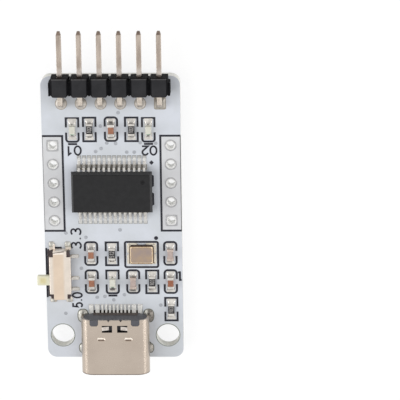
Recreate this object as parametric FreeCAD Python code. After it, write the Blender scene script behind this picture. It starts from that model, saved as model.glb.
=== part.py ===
import FreeCAD, Part

import math
import os

from FreeCAD import Vector

# USB to serial adapter module, in millimetres.
# X runs across the board, Y along it towards the pin header, Z up out of the component side.
# The origin is midway between the two mounting holes, at the board's underside.

# Circuit board
board_width = 17.9
board_length = 38.3
board_thickness = 1.6
board_corner_radius = 1.2
pad_thickness = 0.05

# Small pegs, cones and bends have a few flats in place of a round
small_round_sides = 10
small_bend_steps = 2
length_match = 1e-6

# Mounting holes at the socket end
mounting_hole_radius = 1.5
mounting_hole_side_gap = 2.02
mounting_hole_edge_gap = 3.07

# Plated holes: a row at each side and one row for the header
hole_pitch = 2.54
side_hole_count = 5
side_row_spacing = 15.24
side_row_middle_y = 20.91
plated_hole_radius = 0.5

# Pin header
header_pin_count = 6
header_row_edge_gap = 3.63
pin_width = 0.64
pin_inner_bend_radius = 0.35
pin_bend_steps = 4
pin_free_length = 5.9
pin_tail_drop = 1.4
pin_taper_length = 0.5
pin_taper_end_width = 0.36
segment_width = 2.24
segment_depth = 2.5
segment_height = 2.54
segment_top_chamfer = 0.19
segment_corner_chamfer = 0.28
segment_setback = 1.43
web_depth = 1.75
web_height = 1.9
web_rear_inset = 0.12
stub_length = 0.3
solder_top_height = 0.55
solder_bottom_height = 0.7
solder_foot_radius = 0.72
solder_neck_radius = 0.47
solder_hollow = 0.05
solder_waist_level = 0.36

# Converter chip
chip_x = 0.0
chip_y = 20.03
chip_length = 10.45
chip_depth = 5.5
chip_body_height = 1.75
chip_standoff = 0.1
chip_bevel = 0.3
chip_leads_per_side = 14
chip_lead_pitch = 0.65
chip_lead_width = 0.3
chip_lead_thickness = 0.15
chip_lead_reach = 1.15
chip_lead_shoulder = 0.5
chip_lead_foot = 0.52
chip_lead_bend_radius = 0.12
chip_pad_toe = 0.68
chip_pad_length = 1.75
chip_pad_width = 0.42
chip_mark_radius = 0.3
chip_mark_depth = 0.1
chip_mark_inset = 1.18

# Chip resistors, capacitors and light-emitting diodes, all of one land size
chip_part_length = 1.6
chip_part_width = 0.8
land_overall = 2.85
land_length = 0.95
land_width = 1.0
resistor_height = 0.45
resistor_terminal_length = 0.28
capacitor_height = 0.8
capacitor_cap_length = 0.36
terminal_wall = 0.05
capacitor_edge = 0.05
led_base_height = 0.28
led_notch_radius = 0.18
led_lens_length = 1.14
led_lens_height = 0.36
led_lens_taper = 0.07

# Places of the small parts, each in its own row of the board
row_1_y = 28.18
row_2_y = 11.32
row_3_y = 7.44
row_4_y = 3.65
resistor_places = [(-2.79, row_1_y), (2.62, row_1_y), (-0.23, row_2_y), (4.97, row_3_y), (7.42, row_4_y)]
capacitor_places = [(0.0, row_1_y), (-2.95, row_2_y), (7.39, row_2_y), (-2.95, row_3_y), (2.47, row_3_y),
                    (7.39, row_3_y)]
led_places = [(-5.0, row_1_y), (4.8, row_1_y), (-0.23, row_3_y)]

# Crystal
crystal_x = 3.65
crystal_y = 11.3
crystal_length = 3.2
crystal_depth = 2.5
crystal_base_height = 0.55
crystal_corner_radius = 0.22
crystal_ring_inset = 0.06
crystal_ring_height = 0.06
crystal_ring_width = 0.32
crystal_ring_corner = 0.2
crystal_lid_inset = 0.21
crystal_lid_height = 0.09
crystal_lid_bevel = 0.05
crystal_lid_corner = 0.18
crystal_pad_length = 1.25
crystal_pad_width = 1.05
crystal_pad_proud = 0.12

# Slide switch at the left edge
switch_edge_gap = 0.58
switch_y = 8.72
switch_length = 6.7
switch_width = 2.8
switch_height = 1.4
cover_sheet = 0.15
cover_fold_radius = 0.12
cover_notch_length = 0.8
cover_notch_width = 0.52
cover_side_depth = 0.9
cover_end_gap = 0.1
foot_width = 0.7
foot_length = 0.62
foot_height = 0.42
foot_bend_radius = 0.05
base_floor = 0.3
base_wall = 0.3
base_lip_depth = 0.25
base_lip_height = 0.3
slider_travel = 1.5
slider_length = 3.0
slider_clearance = 0.05
knob_width = 1.3
knob_height = 0.72
knob_reach = 1.64
knob_edge = 0.18
wiper_strip = 0.1
wiper_width = 0.7
wiper_bend_radius = 0.06
wiper_crown_end = 0.36
wiper_foot_start = 0.74
wiper_foot_end = 1.14
wiper_room_height = 0.36
switch_lead_width = 0.4
switch_lead_length = 0.95
switch_lead_strip = 0.12
switch_lead_bend_radius = 0.02
# Each contact's tail offset and the span of its plate on the tray's floor, along Y from the switch's middle
switch_contact_places = [(2.25, 1.2, 2.45), (-0.75, -0.95, 0.35), (-2.25, -2.45, -1.2)]
switch_pad_margin = 0.08
switch_peg_radius = 0.4
switch_peg_spacing = 3.0
switch_peg_length = 0.6
peg_clearance = 0.05

# USB-C socket
socket_x = 0.1
socket_rear_y = 3.13
shell_length = 7.55
shell_side_gap = 1.27
shell_height = 3.16
shell_sheet = 0.3
shell_leg_drop = 1.15
rear_leg_width = 1.1
rear_leg_setback = 0.52
front_leg_width = 0.7
leg_row_spacing = 4.18
leg_relief = 0.15
slot_clearance = 0.15
slot_corner = 0.18
housing_depth = 1.9
housing_clearance = 0.02
housing_lug_width = 1.06
housing_lug_depth = 0.75
housing_lug_side_gap = 1.24
housing_lug_chamfer = 0.2
shell_window_width = 1.34
shell_window_depth = 0.95
shell_window_offset = 1.0
shell_window_setback = 0.7
shell_finger_width = 0.5
shell_finger_length = 0.95
shell_finger_angle = 17.0
finger_pocket_depth = 0.42
housing_floor_side_gap = 1.25
dimple_offset = 1.78
dimple_setback = 2.57
dimple_length = 1.05
dimple_width = 0.56
dimple_depth = 0.12
rear_nick_width = 0.3
rear_nick_depth = 0.2
rear_nick_offset = 0.8
tongue_side_margin = 0.595
tongue_thickness = 0.7
tongue_recess = 0.95
tongue_nose = 0.15
mid_plate_thickness = 0.15
mid_plate_nose_gap = 0.3
mid_plate_root_length = 0.5
contact_thickness = 0.12
contact_width = 0.26
contact_tip_gap = 0.35
contact_foot_reach = 1.05
contact_bend_radius = 0.08
power_foot_width = 0.55
upper_bend_setback = 0.45
lower_bend_setback = 0.95
fan_length = 0.45
socket_pad_length = 1.2
socket_pad_margin = 0.05
socket_peg_radius = 0.3
socket_peg_edge = 0.03
socket_peg_setback = 1.05
socket_peg_length = 0.8
solder_side_ledge = 0.4
solder_end_ledge = 0.15
shell_solder_height = 0.6
shell_solder_dome = 0.35
# Contact places on the tongue and the tails that they fan out to, in pitches from the socket's middle
contact_pitch = 0.5
upper_contacts = [(0.5, 0.5), (1.5, 2.5), (2.5, 4.8), (5.5, 6.4)]
lower_contacts = [(0.5, 1.5), (1.5, 3.5), (2.5, 4.8), (5.5, 6.4)]
power_tails = [4.8, 6.4]

# Derived levels and places
board_top = board_thickness
pad_top = board_top + pad_thickness
mounting_hole_spacing = board_width - 2 * mounting_hole_side_gap
switch_x = switch_edge_gap + switch_width / 2 - board_width / 2
board_rear_y = -mounting_hole_edge_gap
board_front_y = board_rear_y + board_length
header_row_y = board_front_y - header_row_edge_gap
header_rear_y = header_row_y + segment_setback
header_front_y = header_rear_y + segment_depth
pin_axis_z = board_top + segment_height / 2
pin_tip_y = header_front_y + pin_free_length
socket_front_y = socket_rear_y - shell_length
shell_middle_z = board_top + shell_height / 2
tail_places = sorted({tail for spot, tail in upper_contacts + lower_contacts})
tongue_width = 2 * (upper_contacts[-1][0] * contact_pitch + tongue_side_margin)
shell_width = 2 * (tail_places[-1] * contact_pitch + shell_side_gap)
housing_lug_offset = shell_width / 2 - housing_lug_side_gap - housing_lug_width / 2
housing_floor_half = shell_width / 2 - housing_floor_side_gap
socket_peg_offset = housing_floor_half - socket_peg_edge - socket_peg_radius


def box(x0, x1, y0, y1, z0, z1):
    """A block between two corners."""
    return Part.makeBox(x1 - x0, y1 - y0, z1 - z0, Vector(x0, y0, z0))


def block(x, y, z0, size_x, size_y, height):
    """A block centred on x and y that stands on z0."""
    return box(x - size_x / 2, x + size_x / 2, y - size_y / 2, y + size_y / 2, z0, z0 + height)


def post(x, y, z0, radius, height):
    """An upright round post."""
    return Part.makeCylinder(radius, height, Vector(x, y, z0))


def ring_of_points(x, y, z, radius):
    """The corners of a small round shape, which has flats so that the model stays light."""
    turns = [math.pi * (2 * index + 1) / small_round_sides for index in range(small_round_sides)]
    return [Vector(x + radius * math.cos(turn), y + radius * math.sin(turn), z) for turn in turns]


def small_round(x, y, z0, bottom_radius, top_radius, height):
    """A small upright peg, cone or hole filling with flats round it."""
    wires = []
    for radius, z in ((bottom_radius, z0), (top_radius, z0 + height)):
        corners = ring_of_points(x, y, z, radius)
        wires.append(Part.makePolygon(corners + corners[:1]))
    return Part.makeLoft(wires, True, True)


def cut_corner_plate(x, y, z0, size_x, size_y, corner, height):
    """A plate whose upright corners are cut off at an angle."""
    half_x = size_x / 2
    half_y = size_y / 2
    outline = [(half_x, half_y - corner), (half_x - corner, half_y), (corner - half_x, half_y),
               (-half_x, half_y - corner), (-half_x, corner - half_y), (corner - half_x, -half_y),
               (half_x - corner, -half_y), (half_x, corner - half_y)]
    corners = [Vector(x + px, y + py, z0) for px, py in outline]
    return Part.Face(Part.makePolygon(corners + corners[:1])).extrude(Vector(0, 0, height))


def rounded_outline(x, y, z, size_x, size_y, radius):
    """A level rectangle with round corners, as a closed wire."""
    half_x = size_x / 2
    half_y = size_y / 2
    edges = []
    bow = radius * (1 - math.sqrt(0.5))
    corners = [(1, 1), (-1, 1), (-1, -1), (1, -1)]
    arcs = []
    for sign_x, sign_y in corners:
        on_side = Vector(x + sign_x * half_x, y + sign_y * (half_y - radius), z)
        on_end = Vector(x + sign_x * (half_x - radius), y + sign_y * half_y, z)
        middle = Vector(x + sign_x * (half_x - bow), y + sign_y * (half_y - bow), z)
        first, last = (on_side, on_end) if sign_x * sign_y > 0 else (on_end, on_side)
        arcs.append((first, middle, last))
    for index, (first, middle, last) in enumerate(arcs):
        edges.append(Part.Arc(first, middle, last).toShape())
        following = arcs[(index + 1) % len(arcs)][0]
        if last.distanceToPoint(following) > length_match:
            edges.append(Part.LineSegment(last, following).toShape())
    return Part.Wire(edges)


def rounded_plate(x, y, z0, size_x, size_y, radius, height):
    """A plate with round upright corners."""
    face = Part.Face(rounded_outline(x, y, z0, size_x, size_y, radius))
    return face.extrude(Vector(0, 0, height))


def tapered_block(x, y, z0, bottom_x, bottom_y, top_x, top_y, height):
    """A block whose top is larger or smaller than its bottom."""
    wires = []
    for size_x, size_y, z in ((bottom_x, bottom_y, z0), (top_x, top_y, z0 + height)):
        corners = [Vector(x + sx * size_x / 2, y + sy * size_y / 2, z)
                   for sx, sy in ((-1, -1), (1, -1), (1, 1), (-1, 1), (-1, -1))]
        wires.append(Part.makePolygon(corners))
    return Part.makeLoft(wires, True, True)


def strip_face(points, thickness, inner_radius, steps):
    """A bent strip seen from its side, in the YZ plane: straight runs joined by bends.

    The points are the strip's middle line as (y, z). Every bend keeps the same inside radius, and is
    made of short flats: both edges turn by the same share of the bend's angle at each of its steps.
    """
    half = thickness / 2
    middle_radius = inner_radius + half
    vectors = [Vector(0, y, z) for y, z in points]
    left = []
    right = []

    def add(place, along):
        normal = Vector(0, -along.z, along.y)
        left.append(place + normal * half)
        right.append(place - normal * half)

    def direction(start, end):
        along = end - start
        return along.normalize()

    add(vectors[0], direction(vectors[0], vectors[1]))
    for before, point, after in zip(vectors, vectors[1:], vectors[2:]):
        arriving = direction(before, point)
        leaving = direction(point, after)
        turn = arriving.getAngle(leaving)
        side = math.copysign(1, arriving.y * leaving.z - arriving.z * leaving.y)
        start = point - arriving * (middle_radius * math.tan(turn / 2))
        centre = start + Vector(0, -arriving.z, arriving.y) * (side * middle_radius)
        for step in range(steps + 1):
            angle = math.degrees(side * turn * step / steps)
            spin = FreeCAD.Rotation(Vector(1, 0, 0), angle)
            add(centre + spin.multVec(start - centre), spin.multVec(arriving))
    add(vectors[-1], direction(vectors[-2], vectors[-1]))
    outline = left + right[::-1]
    return Part.Face(Part.makePolygon(outline + outline[:1]))


def bent_strip(points, thickness, inner_radius, steps, x, width):
    """A strip of even thickness bent in the YZ plane and centred on x."""
    face = strip_face(points, thickness, inner_radius, steps)
    face.translate(Vector(x - width / 2, 0, 0))
    return face.extrude(Vector(width, 0, 0))


def fused(shapes):
    """One solid from pieces that touch or overlap."""
    first = shapes[0]
    whole = first.multiFuse(shapes[1:]) if len(shapes) > 1 else first
    return whole.removeSplitter()


def row_places(count, pitch, middle):
    """Evenly spaced places about a middle value."""
    return [middle + (index - (count - 1) / 2) * pitch for index in range(count)]


def save(name, shape):
    """Write one node, as one solid or as a group of separate solids."""
    solids = shape.Solids
    whole = solids[0] if len(solids) == 1 else Part.makeCompound(solids)
    whole.exportStep("parts/" + name + ".step")


side_hole_ys = row_places(side_hole_count, hole_pitch, side_row_middle_y)
header_xs = row_places(header_pin_count, hole_pitch, 0.0)
leg_places = [(sign * (shell_width - shell_sheet) / 2, y, width)
              for sign in (-1, 1)
              for y, width in ((socket_rear_y - rear_leg_setback, rear_leg_width),
                               (socket_rear_y - rear_leg_setback - leg_row_spacing, front_leg_width))]


def leg_slot(x, y, width):
    """The slot in the board that one shell leg stands in, narrower towards its ends."""
    slot_x = shell_sheet + 2 * slot_clearance
    slot_y = width + 2 * slot_clearance + slot_x / 2
    return cut_corner_plate(socket_x + x, y, 0, slot_x, slot_y, slot_corner, board_thickness)


def make_board():
    """The bare laminate with every hole that is drilled or milled in it."""
    middle_y = (board_front_y + board_rear_y) / 2
    board = rounded_plate(0, middle_y, 0, board_width, board_length, board_corner_radius, board_thickness)
    cuts = []
    for sign in (-1, 1):
        cuts.append(post(sign * mounting_hole_spacing / 2, 0, 0, mounting_hole_radius, board_thickness))
        for y in side_hole_ys:
            cuts.append(post(sign * side_row_spacing / 2, y, 0, plated_hole_radius, board_thickness))
        cuts.append(small_hole(socket_x + sign * socket_peg_offset, socket_rear_y - socket_peg_setback,
                               socket_peg_radius + peg_clearance))
        cuts.append(small_hole(switch_x, switch_y + sign * switch_peg_spacing / 2,
                               switch_peg_radius + peg_clearance))
    for x in header_xs:
        cuts.append(small_hole(x, header_row_y, plated_hole_radius))
    for x, y, width in leg_places:
        cuts.append(leg_slot(x, y, width))
    return board.cut(Part.makeCompound(cuts))


def small_hole(x, y, radius):
    """The cut for a small hole right through the board."""
    return small_round(x, y, 0, radius, radius, board_thickness)


def chip_lead_xs():
    """The places of the chip's leads along one side."""
    return row_places(chip_leads_per_side, chip_lead_pitch, chip_x)


def small_part_pads(places):
    """The two lands of each small part that lies along Y."""
    pads = []
    for x, y in places:
        for sign in (-1, 1):
            pads.append(block(x, y + sign * (land_overall - land_length) / 2, board_top, land_width,
                              land_length, pad_thickness))
    return pads


def crystal_pad_places():
    """The middles of the four lands under the corners of the crystal."""
    reach_x = crystal_length / 2 + crystal_pad_proud - crystal_pad_length / 2
    reach_y = crystal_depth / 2 + crystal_pad_proud - crystal_pad_width / 2
    return [(crystal_x + sx * reach_x, crystal_y + sy * reach_y) for sx in (-1, 1) for sy in (-1, 1)]


def foot_places():
    """The middles of the switch cover's four feet, with the way along Y that each one points."""
    reach_x = switch_width / 2 - foot_width / 2
    return [(switch_x + sx * reach_x, switch_y + sy * switch_length / 2, sy)
            for sx in (-1, 1) for sy in (-1, 1)]


def make_pads():
    """The tinned lands on the component side, apart from the plated holes."""
    pads = []
    for sign in (-1, 1):
        y = chip_y + sign * (chip_depth / 2 + chip_lead_reach + chip_pad_toe - chip_pad_length / 2)
        for x in chip_lead_xs():
            pads.append(block(x, y, board_top, chip_pad_width, chip_pad_length, pad_thickness))
        for tail in tail_places:
            foot = power_foot_width if tail in power_tails else contact_width
            x = socket_x + sign * tail * contact_pitch
            pads.append(block(x, socket_rear_y + socket_pad_length / 2, board_top,
                              foot + 2 * socket_pad_margin, socket_pad_length, pad_thickness))
    pads += small_part_pads(resistor_places + capacitor_places + led_places)
    for x, y in crystal_pad_places():
        pads.append(block(x, y, board_top, crystal_pad_length, crystal_pad_width, pad_thickness))
    for x, y, sign in foot_places():
        pads.append(block(x, y + sign * foot_length / 2, board_top, foot_width, foot_length, pad_thickness))
    lead_x = switch_x + switch_width / 2 + switch_lead_length / 2
    for offset, plate_start, plate_end in switch_contact_places:
        pads.append(block(lead_x, switch_y + offset, board_top, switch_lead_length,
                          switch_lead_width + 2 * switch_pad_margin, pad_thickness))
    return Part.makeCompound(pads)


def make_header_housing():
    """Six segments with bevelled tops and corners, joined by webs, with the pin holes through them."""
    pieces = []
    for x in header_xs:
        half = segment_width / 2
        cut = segment_corner_chamfer
        outline = [(-half, header_front_y), (half, header_front_y), (half, header_rear_y + cut),
                   (half - cut, header_rear_y), (-half + cut, header_rear_y), (-half, header_rear_y + cut),
                   (-half, header_front_y)]
        wire = Part.makePolygon([Vector(x + px, py, board_top) for px, py in outline])
        segment = Part.Face(wire).extrude(Vector(0, 0, segment_height))
        long_top_edges = [edge for edge in segment.Edges
                          if abs(edge.BoundBox.ZMin - board_top - segment_height) < length_match
                          and abs(edge.BoundBox.XLength) < length_match]
        segment = segment.makeChamfer(segment_top_chamfer, long_top_edges)
        pieces.append(segment)
    web_y0 = header_rear_y + web_rear_inset
    web_z0 = pin_axis_z - web_height / 2
    gap = hole_pitch - segment_width
    for x in [(a + b) / 2 for a, b in zip(header_xs, header_xs[1:])]:
        pieces.append(box(x - gap / 2, x + gap / 2, web_y0, web_y0 + web_depth, web_z0, web_z0 + web_height))
    for sign in (-1, 1):
        inner = sign * (header_xs[-1] + segment_width / 2)
        outer = inner + sign * stub_length
        pieces.append(box(min(inner, outer), max(inner, outer), web_y0, web_y0 + web_depth, web_z0,
                          web_z0 + web_height))
    housing = fused(pieces)
    holes = [block(x, (header_rear_y + header_front_y) / 2, pin_axis_z - pin_width / 2, pin_width,
                   segment_depth, pin_width) for x in header_xs]
    return housing.cut(Part.makeCompound(holes))


def make_pin(x):
    """A square pin bent once, with both ends tapered."""
    start_y = pin_tip_y - pin_taper_length
    end_z = -pin_tail_drop + pin_taper_length
    body = bent_strip([(start_y, pin_axis_z), (header_row_y, pin_axis_z), (header_row_y, end_z)],
                      pin_width, pin_inner_bend_radius, pin_bend_steps, x, pin_width)
    tail = tapered_block(x, header_row_y, -pin_tail_drop, pin_taper_end_width, pin_taper_end_width,
                         pin_width, pin_width, pin_taper_length)
    tip = tapered_block(x, 0, 0, pin_width, pin_width, pin_taper_end_width, pin_taper_end_width,
                        pin_taper_length)
    tip.rotate(Vector(x, 0, 0), Vector(1, 0, 0), -90)
    tip.translate(Vector(0, start_y, pin_axis_z))
    return fused([body, tail, tip])


def make_header_solder(pins):
    """Solder that fills each plated hole and rises round the pin in a hollow cone on both sides."""
    waist_radius = (solder_foot_radius + solder_neck_radius) / 2 - solder_hollow
    top = board_top + solder_top_height
    bottom = -solder_bottom_height
    levels = [(bottom, solder_neck_radius), (bottom * solder_waist_level, waist_radius),
              (0, solder_foot_radius), (0, plated_hole_radius), (board_top, plated_hole_radius),
              (board_top, solder_foot_radius),
              (board_top + solder_top_height * solder_waist_level, waist_radius), (top, solder_neck_radius)]
    joints = []
    for x, pin in zip(header_xs, pins):
        pieces = [small_round(x, header_row_y, z0, radius0, radius1, z1 - z0)
                  for (z0, radius0), (z1, radius1) in zip(levels, levels[1:]) if z1 > z0]
        joint = fused(pieces).cut(pin)
        joints.append(max(joint.Solids, key=lambda solid: solid.Volume))
    return Part.makeCompound(joints)


def make_chip_body():
    """A moulded body that narrows above and below the leads, with a round mark at its first lead."""
    bottom = pad_top + chip_standoff
    band = chip_lead_thickness
    half_height = (chip_body_height - band) / 2
    narrow_x = chip_length - 2 * chip_bevel
    narrow_y = chip_depth - 2 * chip_bevel
    lower = tapered_block(chip_x, chip_y, bottom, narrow_x, narrow_y, chip_length, chip_depth, half_height)
    middle = block(chip_x, chip_y, bottom + half_height, chip_length, chip_depth, band)
    upper = tapered_block(chip_x, chip_y, bottom + half_height + band, chip_length, chip_depth, narrow_x,
                          narrow_y, half_height)
    body = fused([lower, middle, upper])
    mark = post(chip_x + chip_length / 2 - chip_mark_inset, chip_y + chip_depth / 2 - chip_mark_inset,
                bottom + chip_body_height - chip_mark_depth, chip_mark_radius, chip_mark_depth)
    return body.cut(mark)


def make_chip_leads(sign):
    """One row of gull-wing leads: out of the body, down, and a foot on the land."""
    exit_z = pad_top + chip_standoff + chip_body_height / 2
    foot_z = pad_top + chip_lead_thickness / 2
    exit_y = chip_y + sign * chip_depth / 2
    shoulder_y = exit_y + sign * chip_lead_shoulder
    toe_y = exit_y + sign * chip_lead_reach
    heel_y = toe_y - sign * chip_lead_foot
    points = [(exit_y, exit_z), (shoulder_y, exit_z), (heel_y, foot_z), (toe_y, foot_z)]
    leads = [bent_strip(points, chip_lead_thickness, chip_lead_bend_radius, small_bend_steps, x,
                        chip_lead_width) for x in chip_lead_xs()]
    return Part.makeCompound(leads)


def make_resistor(x, y):
    """A flat ceramic block that its two wrapped terminals leave bare along the middle."""
    return block(x, y, pad_top + terminal_wall, chip_part_width, chip_part_length - 2 * terminal_wall,
                 resistor_height - 2 * terminal_wall)


def make_resistor_terminals():
    """Terminals that wrap each resistor's ends over, behind and under, open at the sides."""
    pieces = []
    for x, y in resistor_places:
        core = make_resistor(x, y)
        for sign in (-1, 1):
            end = y + sign * (chip_part_length - resistor_terminal_length) / 2
            wrap = block(x, end, pad_top, chip_part_width, resistor_terminal_length, resistor_height)
            pieces.append(wrap.cut(core))
    return Part.makeCompound(pieces)


def make_capacitor(x, y):
    """A ceramic block with softened edges that its end caps leave bare along the middle."""
    width = chip_part_width - 2 * terminal_wall
    core = block(x, y, pad_top + terminal_wall, width, chip_part_length - 2 * terminal_wall,
                 capacitor_height - 2 * terminal_wall)
    long_edges = [edge for edge in core.Edges if edge.BoundBox.YLength > chip_part_width]
    return core.makeChamfer(capacitor_edge, long_edges)


def make_capacitor_caps():
    """Caps that close both ends of each capacitor on five sides, with softened edges."""
    pieces = []
    for x, y in capacitor_places:
        core = make_capacitor(x, y)
        for sign in (-1, 1):
            end = y + sign * (chip_part_length - capacitor_cap_length) / 2
            cap = block(x, end, pad_top, chip_part_width, capacitor_cap_length, capacitor_height)
            long_edges = [edge for edge in cap.Edges if edge.BoundBox.YLength > length_match]
            cap = cap.makeChamfer(capacitor_edge, long_edges)
            pieces.append(cap.cut(core))
    return Part.makeCompound(pieces)


def make_led_base(x, y):
    """A flat carrier whose plated ends have the half-round notch of a cut plated hole."""
    base = block(x, y, pad_top, chip_part_width, chip_part_length, led_base_height)
    notches = [small_round(x, y + sign * chip_part_length / 2, pad_top, led_notch_radius, led_notch_radius,
                           led_base_height) for sign in (-1, 1)]
    return base.cut(Part.makeCompound(notches))


def make_led_lens(x, y):
    """The clear block over the light's die, with drafted ends."""
    return tapered_block(x, y, pad_top + led_base_height, chip_part_width, led_lens_length,
                         chip_part_width - led_lens_taper, led_lens_length - 2 * led_lens_taper,
                         led_lens_height)


def make_crystal():
    """The crystal's ceramic base with notched corners, its seal ring and its lid."""
    base = block(crystal_x, crystal_y, pad_top, crystal_length, crystal_depth, crystal_base_height)
    corners = [small_round(crystal_x + sx * crystal_length / 2, crystal_y + sy * crystal_depth / 2, pad_top,
                           crystal_corner_radius, crystal_corner_radius, crystal_base_height)
               for sx in (-1, 1) for sy in (-1, 1)]
    base = base.cut(Part.makeCompound(corners))
    ring_z = pad_top + crystal_base_height
    ring_x = crystal_length - 2 * crystal_ring_inset
    ring_y = crystal_depth - 2 * crystal_ring_inset
    outer = cut_corner_plate(crystal_x, crystal_y, ring_z, ring_x, ring_y, crystal_ring_corner,
                             crystal_ring_height)
    inner = block(crystal_x, crystal_y, ring_z, ring_x - 2 * crystal_ring_width,
                  ring_y - 2 * crystal_ring_width, crystal_ring_height)
    ring = outer.cut(inner)
    lid = cut_corner_plate(crystal_x, crystal_y, ring_z + crystal_ring_height,
                           crystal_length - 2 * crystal_lid_inset, crystal_depth - 2 * crystal_lid_inset,
                           crystal_lid_corner, crystal_lid_height)
    lid_top = ring_z + crystal_ring_height + crystal_lid_height
    rim = [edge for edge in lid.Edges if abs(edge.BoundBox.ZMin - lid_top) < length_match]
    lid = lid.makeChamfer(crystal_lid_bevel, rim)
    return base, ring, lid


def switch_inside():
    """The room in the switch base: its length, its width and the height of its floor."""
    length = switch_length - 2 * cover_sheet - 2 * base_wall
    width = switch_width - 2 * cover_sheet - 2 * base_wall
    return length, width, board_top + base_floor


def make_switch_base(contacts):
    """An open tray with the knob's slot in one side, a low lip along that side and two pegs."""
    length = switch_length - 2 * cover_sheet
    width = switch_width - 2 * cover_sheet
    height = switch_height - cover_sheet
    room_length, room_width, floor_z = switch_inside()
    tray = block(switch_x, switch_y, board_top, width, length, height)
    left = switch_x - switch_width / 2
    lip = box(left - base_lip_depth, left + cover_sheet, switch_y - length / 2, switch_y + length / 2,
              board_top, board_top + base_lip_height)
    pegs = [small_round(switch_x, switch_y + sign * switch_peg_spacing / 2, board_top - switch_peg_length,
                        switch_peg_radius, switch_peg_radius, switch_peg_length) for sign in (-1, 1)]
    room = block(switch_x, switch_y, floor_z, room_width, room_length, height)
    slot_half = knob_slot_length() / 2
    slot = box(left, switch_x, switch_y - slot_half, switch_y + slot_half, slot_floor_z(),
               board_top + switch_height)
    return fused([tray, lip] + pegs).cut(Part.makeCompound([room, slot])).cut(contacts)


def knob_slot_length():
    """The knob's own width, its travel and the running gap at both ends."""
    return knob_width + slider_travel + 2 * slider_clearance


def slot_floor_z():
    """The level of the slot's lower edge, just under the knob."""
    return knob_bottom_z() - slider_clearance


def knob_bottom_z():
    """The knob hangs just under the cover's top sheet."""
    return board_top + switch_height - cover_sheet - slider_clearance - knob_height


def make_switch_cover():
    """A folded sheet: top, two long sides, two ends notched at the corners, and four feet."""
    shell = rounded_cover(switch_width, switch_length, board_top, switch_height)
    hollow = block(switch_x, switch_y, board_top, switch_width - 2 * cover_sheet,
                   switch_length - 2 * cover_sheet, switch_height - cover_sheet)
    cuts = [hollow]
    side_bottom = board_top + switch_height - cover_side_depth
    half_width = switch_width / 2
    half_length = switch_length / 2
    for sign in (-1, 1):
        outer = switch_x + sign * half_width
        inner = outer - sign * cover_sheet
        cuts.append(box(min(inner, outer), max(inner, outer), switch_y - half_length, switch_y + half_length,
                        board_top, side_bottom if sign > 0 else board_top + foot_height))
    for sx in (-1, 1):
        for sy in (-1, 1):
            x0 = switch_x + sx * half_width
            x1 = x0 - sx * cover_notch_width
            y0 = switch_y + sy * half_length
            y1 = y0 - sy * cover_notch_length
            cuts.append(box(min(x0, x1), max(x0, x1), min(y0, y1), max(y0, y1), board_top + foot_height,
                            board_top + switch_height))
    slot_half = knob_slot_length() / 2
    cuts.append(box(switch_x - half_width, switch_x, switch_y - slot_half, switch_y + slot_half,
                    board_top, board_top + switch_height - cover_sheet))
    cuts.append(block(switch_x, switch_y, board_top, switch_width, switch_length,
                      pad_thickness + cover_end_gap))
    cover = shell.cut(Part.makeCompound(cuts))
    feet = []
    for x, y, sign in foot_places():
        feet.append(make_foot(x, y, sign))
    return fused([cover] + feet)


def rounded_cover(width, length, z0, height):
    """The outside of the folded cover, with its top edges rounded by the folds."""
    outside = block(switch_x, switch_y, z0, width, length, height)
    top = z0 + height
    edges = [edge for edge in outside.Edges if abs(edge.BoundBox.ZMin - top) < length_match]
    return outside.makeFillet(cover_fold_radius, edges)


def make_foot(x, y, sign):
    """A foot bent out from the lower edge of the cover's end."""
    flat_z = pad_top + cover_sheet / 2
    upright_y = y - sign * cover_sheet / 2
    points = [(upright_y, board_top + foot_height), (upright_y, flat_z), (y + sign * foot_length, flat_z)]
    return bent_strip(points, cover_sheet, foot_bend_radius, small_bend_steps, x, foot_width)


def make_slider():
    """A sliding block with the knob that reaches out through the slot."""
    room_length, room_width, floor_z = switch_inside()
    rest_y = switch_y - slider_travel / 2
    top = board_top + switch_height - cover_sheet - slider_clearance
    carrier = box(switch_x - room_width / 2 + slider_clearance, switch_x + room_width / 2 - slider_clearance,
                  rest_y - slider_length / 2, rest_y + slider_length / 2, knob_bottom_z(), top)
    wiper_room = block(switch_x, rest_y, knob_bottom_z(), wiper_width + 2 * slider_clearance,
                       2 * (wiper_foot_end + slider_clearance), wiper_room_height)
    carrier = carrier.cut(wiper_room)
    left = switch_x - switch_width / 2
    knob = box(left - knob_reach, switch_x - room_width / 2 + slider_clearance, rest_y - knob_width / 2,
               rest_y + knob_width / 2, knob_bottom_z(), top)
    tip_edges = [edge for edge in knob.Edges if abs(edge.BoundBox.XMax - (left - knob_reach)) < length_match
                 and edge.BoundBox.ZLength > length_match]
    knob = knob.makeFillet(knob_edge, tip_edges)
    return fused([carrier, knob])


def make_wiper():
    """A bowed spring strip held in the slider that presses on the contacts below."""
    room_length, room_width, floor_z = switch_inside()
    rest_y = switch_y - slider_travel / 2
    crown_z = knob_bottom_z() + wiper_room_height - wiper_strip / 2
    foot_z = floor_z + switch_lead_strip + wiper_strip / 2
    half = [(wiper_crown_end, crown_z), (wiper_foot_start, foot_z), (wiper_foot_end, foot_z)]
    points = [(rest_y - reach, z) for reach, z in reversed(half)] + [(rest_y + reach, z) for reach, z in half]
    return bent_strip(points, wiper_strip, wiper_bend_radius, small_bend_steps, switch_x, wiper_width)


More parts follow.
